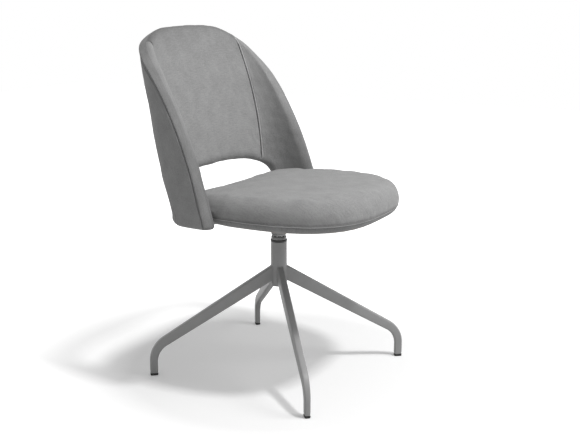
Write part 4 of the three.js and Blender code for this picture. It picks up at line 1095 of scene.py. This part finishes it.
def discGrid(count):
    # a square grid laid on a disc: the larger of both sides is the radius, their ratio the turn
    a, b = np.meshgrid(np.linspace(-1, 1, count), np.linspace(-1, 1, count), indexing="ij")
    wide = np.abs(a) >= np.abs(b)
    radius = np.where(wide, a, b)
    safe = np.where(radius == 0, 1, radius)
    turn = np.where(wide, np.pi / 4 * b / safe, np.pi / 2 - np.pi / 4 * a / safe)
    across, ahead = radius * np.cos(turn), radius * np.sin(turn)
    return across, ahead, np.hypot(across, ahead), np.arctan2(ahead, across)


def cushionTop():
    # meridians from the seam: a roll whose height follows a power of sine, then a crown that is a parabola
    _, _, share, turn = discGrid(cushion["grid"])
    edge = seatOutline(turn)
    crownShare = cushion["crownShare"]
    roll = within((1 - share) / (1 - crownShare)) * np.pi / 2
    inset = seat["roll"] * (1 - np.cos(roll)) + cushion["seamIn"]
    wall = seat["rise"] - seat["crown"]
    inner = within(share / crownShare)
    height = seat["seam"] + wall * np.sin(roll) ** seat["fullness"] + seat["crown"] * (1 - inner ** 2)
    inset += bellyAt(turn) * within(1 - (height - seat["seam"]) / seat["bellyRise"]) ** 2
    crown = (edge - seat["roll"] - cushion["seamIn"]) * inner
    points = roundAxis(np.where(share >= crownShare, edge - inset, crown), turn, height)
    dented = creaseRise(points[..., 0], points[..., 1], dents, total=ripples(points, cushion["ripples"]))
    points[..., 2] += dented * within((1 - share) / cushion["dentFade"])
    return dressed(points)


def makeCushion():
    # the top, a skirt of rings under its edge and a flat floor
    top = cushionTop()
    count = cushion["grid"]
    numbers = np.arange(count * count).reshape(count, count)
    edge = np.concatenate([numbers[0, :-1], numbers[:-1, -1], numbers[-1, :0:-1], numbers[:0:-1, 0]])
    rim = top.reshape(-1, 3)[edge]
    insets = (0, cushion["lipInset"], cushion["floorInset"], cushion["floorInset"])
    rings = np.stack([rim - fromAxis(rim) * inset for inset in insets])
    rings[1:3, :, 2] = seat["seam"] + cushion["lipRise"]
    rings[3, :, 2] = cushion["floor"]
    across, ahead, share, turn = discGrid(count)
    quads = gridFaces(count, count)
    laid = np.stack([across, ahead], -1) * cushion["mapSides"]
    laid = laid.reshape(-1, 2)[quads].reshape(-1, 2)
    radius = share * (seatOutline(turn) - cushion["seamIn"] - cushion["floorInset"])
    under = roundAxis(radius, turn, cushion["floor"])
    faces = [(top, quads, laid), part(rings, False, True), (under, quads[:, ::-1], laid)]
    # painted shade: darkest at and below the seam, falling off up the cushion's roll
    shade = [seamShade(points.reshape(-1, 3)[:, 2] - seat["seam"]) for points in (top, rings, under)]
    return clothPiece("cushion_seat", ["seat_cushion"], faces, shade=np.concatenate(shade))


def coordinates(mesh):
    values = np.empty(len(mesh.vertices) * 3, np.float32)
    mesh.vertices.foreach_get("co", values)
    return values.reshape(-1, 3).astype(float)


clothSettings = {"quality": 6, "mass": 0.3, "tension_stiffness": 15, "compression_stiffness": 15,
                 "shear_stiffness": 8, "bending_stiffness": 1.5, "use_pressure": True,
                 "uniform_pressure_force": cushion["pressure"], "shrink_min": -cushion["spare"]}


def inflate(piece, held, cap, frames=20):
    # cloth with a little spare fabric under air pressure; no point ends further than the cap from its start,
    # as its move becomes the cap times the hyperbolic tangent of move over cap
    before = coordinates(piece.data)
    group = piece.vertex_groups.new(name="held")
    group.add(np.nonzero(held)[0].tolist(), 1.0, "REPLACE")
    modifier = piece.modifiers.new("cloth", "CLOTH")
    for key, value in clothSettings.items():
        setattr(modifier.settings, key, value)
    modifier.settings.vertex_group_mass = "held"
    modifier.settings.effector_weights.gravity = 0
    modifier.point_cache.frame_start = 1
    modifier.point_cache.frame_end = frames
    for number in range(1, frames + 1):
        scene.frame_set(number)
    shaped = piece.evaluated_get(bpy.context.evaluated_depsgraph_get()).to_mesh()
    move = coordinates(shaped) - before
    length = np.linalg.norm(move, axis=1, keepdims=True)
    move *= np.tanh(length / cap) * cap / np.maximum(length, 1e-9)
    piece.modifiers.remove(modifier)
    piece.vertex_groups.remove(group)
    piece.data.vertices.foreach_set("co", (before + move).astype(np.float32).ravel())
    piece.data.update()
    scene.frame_set(1)
    print(f"chair: {piece.name} settled, largest move {length.max() * 1000:.1f} mm")


seatCushion = makeCushion()
held = coordinates(seatCushion.data)[:, 2] < (seat["seam"] + cushion["heldRise"]) / 1000
inflate(seatCushion, held, cushion["cap"] / 1000)
fine = seatCushion.modifiers.new("fine", "SUBSURF")
fine.levels = fine.render_levels = 1

# the profile's rows are inset and height: tucked under the welt, bellied, turned in, hemmed under the pan
border = {"facets": 480, "puckers": 60, "pucker": 0.35, "puckerWave": (2.0, 90, 11), "shade": 0.36,
          "lowSpread": 0.5, "tuckFade": (10, 32), "hemGrow": (14, 40), "hemLevels": (412.9, 414),
          "sideInset": 12, "sideDrop": 1,
          "ripples": [(0.5, 120, 12), (0.2, 28, 13)],
          "profile": [(6.5, 433.6), (3.6, 433.4), (2.3, 432.4), (2.0, 430.6), (2.5, 428.0), (3.9, 424.6),
                      (6.4, 421.3), (10.0, 418.6), (14.8, 416.3), (20.6, 414.6), (27.5, 413.5), (35.0, 413.0),
                      (40.0, 413.0), (43.5, 413.0), (44.8, 413.2), (45.0, 413.45), (44.8, 413.75),
                      (43.5, 413.9), (30.0, 413.9), (25.0, 416.5), (24.0, 432.4), (12.0, 433.2)]}


def borderSurface():
    # closed section round the seat, with a puckered hem and soft ripples on its outer side
    inset, height = np.array(border["profile"]).T
    turn = fullTurn(border["facets"])
    low = within((seat["seam"] - height) / (seat["seam"] - seat["bottom"]))[:, None]
    near, far = border["tuckFade"]
    tucked = within((far - inset) / (far - near))[:, None]
    belly = bellyAt(turn) * (1 + border["lowSpread"] * low)
    rings = seatRings(inset[:, None] + belly * tucked + seat["tuck"] * low * tucked, height, border["facets"])
    (near, far), (floor, ceiling) = border["hemGrow"], border["hemLevels"]
    under = within((inset - near) / (far - near)) * (height < ceiling) * (height > floor)
    hem = rings[np.argmax(inset == far)]
    pucker = np.abs(np.sin(turn * border["puckers"] + ripple(hem, *border["puckerWave"]))) - 0.5
    rings[..., 2] += under[:, None] * pucker * border["pucker"]
    side = ((height < seat["seam"] - border["sideDrop"]) & (inset < border["sideInset"]))[:, None]
    return rings + fromAxis(rings) * (side * ripples(rings, border["ripples"]))[..., None]


bandPoints = borderSurface()
# painted shade: the whole band is darker, and darkest next to the seam
bandShade = seamShade(seat["seam"] - bandPoints[..., 2]) + border["shade"]
bandPiece = clothPiece("border_seat", ["seat_border"], [part(bandPoints, True, True)], shade=bandShade)

welt = {"inset": 1.9, "radius": 1.5, "above": 0.1, "wave": (0.25, 60, 14), "light": -0.6, "facets": 480}
weltInset = welt["inset"] + bellyAt(fullTurn(welt["facets"]))
weltPath = seatRings(weltInset[None], [seat["seam"] + welt["above"]], welt["facets"])[0]
weltPath[:, 2] += ripple(weltPath, *welt["wave"])
weltTube = tubeAlong(weltPath, welt["radius"], 12, True)
# painted highlight: the welt's colour is lightened all round
weltShade = np.full(weltTube.shape[:2], welt["light"])
clothPiece("welt_seat", (), [part(weltTube, True, True)], shade=weltShade)

lining = {"inset": 40.0, "thick": 0.5, "level": 412.35, "grid": 70, "wave": (0.1, 60, 21), "facets": 720}


def liningSheet():
    # thin cloth drawn over the pan's underside, with a slight wave between its staples
    _, _, share, turn = discGrid(lining["grid"])
    points = roundAxis(share * (seatOutline(turn) - lining["inset"]), turn, lining["level"])
    points[..., 2] += ripple(points, *lining["wave"])
    quads = gridFaces(lining["grid"], lining["grid"])
    return points, quads, (points[..., :2].reshape(-1, 2)[quads] / 1000).reshape(-1, 2)


liningPiece = addPiece("lining_seat", "lining_cloth", "seat", ["dust_cover"], [liningSheet()], (), False)
thick = liningPiece.modifiers.new("thick", "SOLIDIFY")
thick.thickness = lining["thick"] / 1000
thick.offset = 0
print("chair: seat made")


# floor and light; a lamp's row is its place, size and power
studio = {"floorSize": 12.0, "floorSeen": 0.9, "floorBounce": 0.66, "glow": 0.13, "world": 0.435,
          "worldRear": 0.05, "fadeFrom": 0.38, "fadeTo": 0.85,
          "lamps": {"key": ((-0.08, -1.3, 2.8), 0.3, 40), "front": ((0.7, -2.2, 2.0), 1.3, 21)}}


def seenRays(tree):
    # 1 for the camera and for what it sees in gloss or through glass
    path = put(tree, "LightPath").outputs
    indirect = calc(tree, "MAXIMUM", path["Is Glossy Ray"], path["Is Transmission Ray"])
    return calc(tree, "MAXIMUM", path["Is Camera Ray"], indirect)


def makeFloor():
    # a plain floor, paler to the camera and in reflections than to the light it throws back, with a glow there
    # that grows with the distance from the chair's foot: painted light that fades out the far part of its
    # shadow
    mesh = bpy.data.meshes.new("floor")
    reach = studio["floorSize"] / 2
    square = [(-reach, -reach, 0), (reach, -reach, 0), (reach, reach, 0), (-reach, reach, 0)]
    mesh.from_pydata(square, [], [(0, 1, 2, 3)])
    floor = addObject("floor", mesh)
    material, tree, shader, output = newMaterial("floor_pale")
    shader.inputs["Roughness"].default_value = 1
    shader.inputs["Specular IOR Level"].default_value = 0
    seen = seenRays(tree)
    far = put(tree, "VectorMath", {0: objectPlace(tree)}, operation="LENGTH").outputs["Value"]
    edge = ranged(tree, far, 0, 1, From_Min=studio["fadeFrom"], From_Max=studio["fadeTo"])
    tone = ranged(tree, seen, studio["floorBounce"], studio["floorSeen"])
    tree.links.new(tone, shader.inputs["Base Color"])
    # painted light: the glow is weaker near the chair and full beyond the fade, so the far shadow fades out
    glow = calc(tree, "ADD", calc(tree, "MULTIPLY", edge, 1 - studio["glow"]), studio["glow"])
    light = put(tree, "Emission", {"Strength": calc(tree, "MULTIPLY", glow, seen)})
    both = put(tree, "AddShader", {0: shader.outputs[0], 1: light.outputs[0]})
    tree.links.new(both.outputs[0], output.inputs["Surface"])
    mesh.materials.append(material)
    floor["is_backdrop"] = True


def makeWorld():
    # white to the camera; as light it is even but a little weaker from the front than from the rear
    world = bpy.data.worlds.new("studio")
    scene.world = world
    world.use_nodes = True
    tree = world.node_tree
    background = tree.nodes["Background"]
    seen = seenRays(tree)
    direction = put(tree, "TexCoord").outputs["Generated"]
    ahead = put(tree, "SeparateXYZ", {0: direction}).outputs["Y"]
    light = calc(tree, "ADD", calc(tree, "MULTIPLY", ahead, studio["worldRear"]), studio["world"])
    tree.links.new(ranged(tree, seen, light, 1.0), background.inputs["Strength"])
    background.inputs["Color"].default_value = (1, 1, 1, 1)


def addLamp(name, place, size, power):
    # an area lamp that faces the chair's foot
    data = bpy.data.lights.new(name, "AREA")
    data.size = size
    data.energy = power
    lamp = addObject(name, data)
    lamp.location = place
    lamp.rotation_euler = (-Vector(place)).to_track_quat("-Z", "Y").to_euler()


makeFloor()
makeWorld()
for name, row in studio["lamps"].items():
    addLamp(name, *row)
print("chair: floor and light made")

low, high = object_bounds()
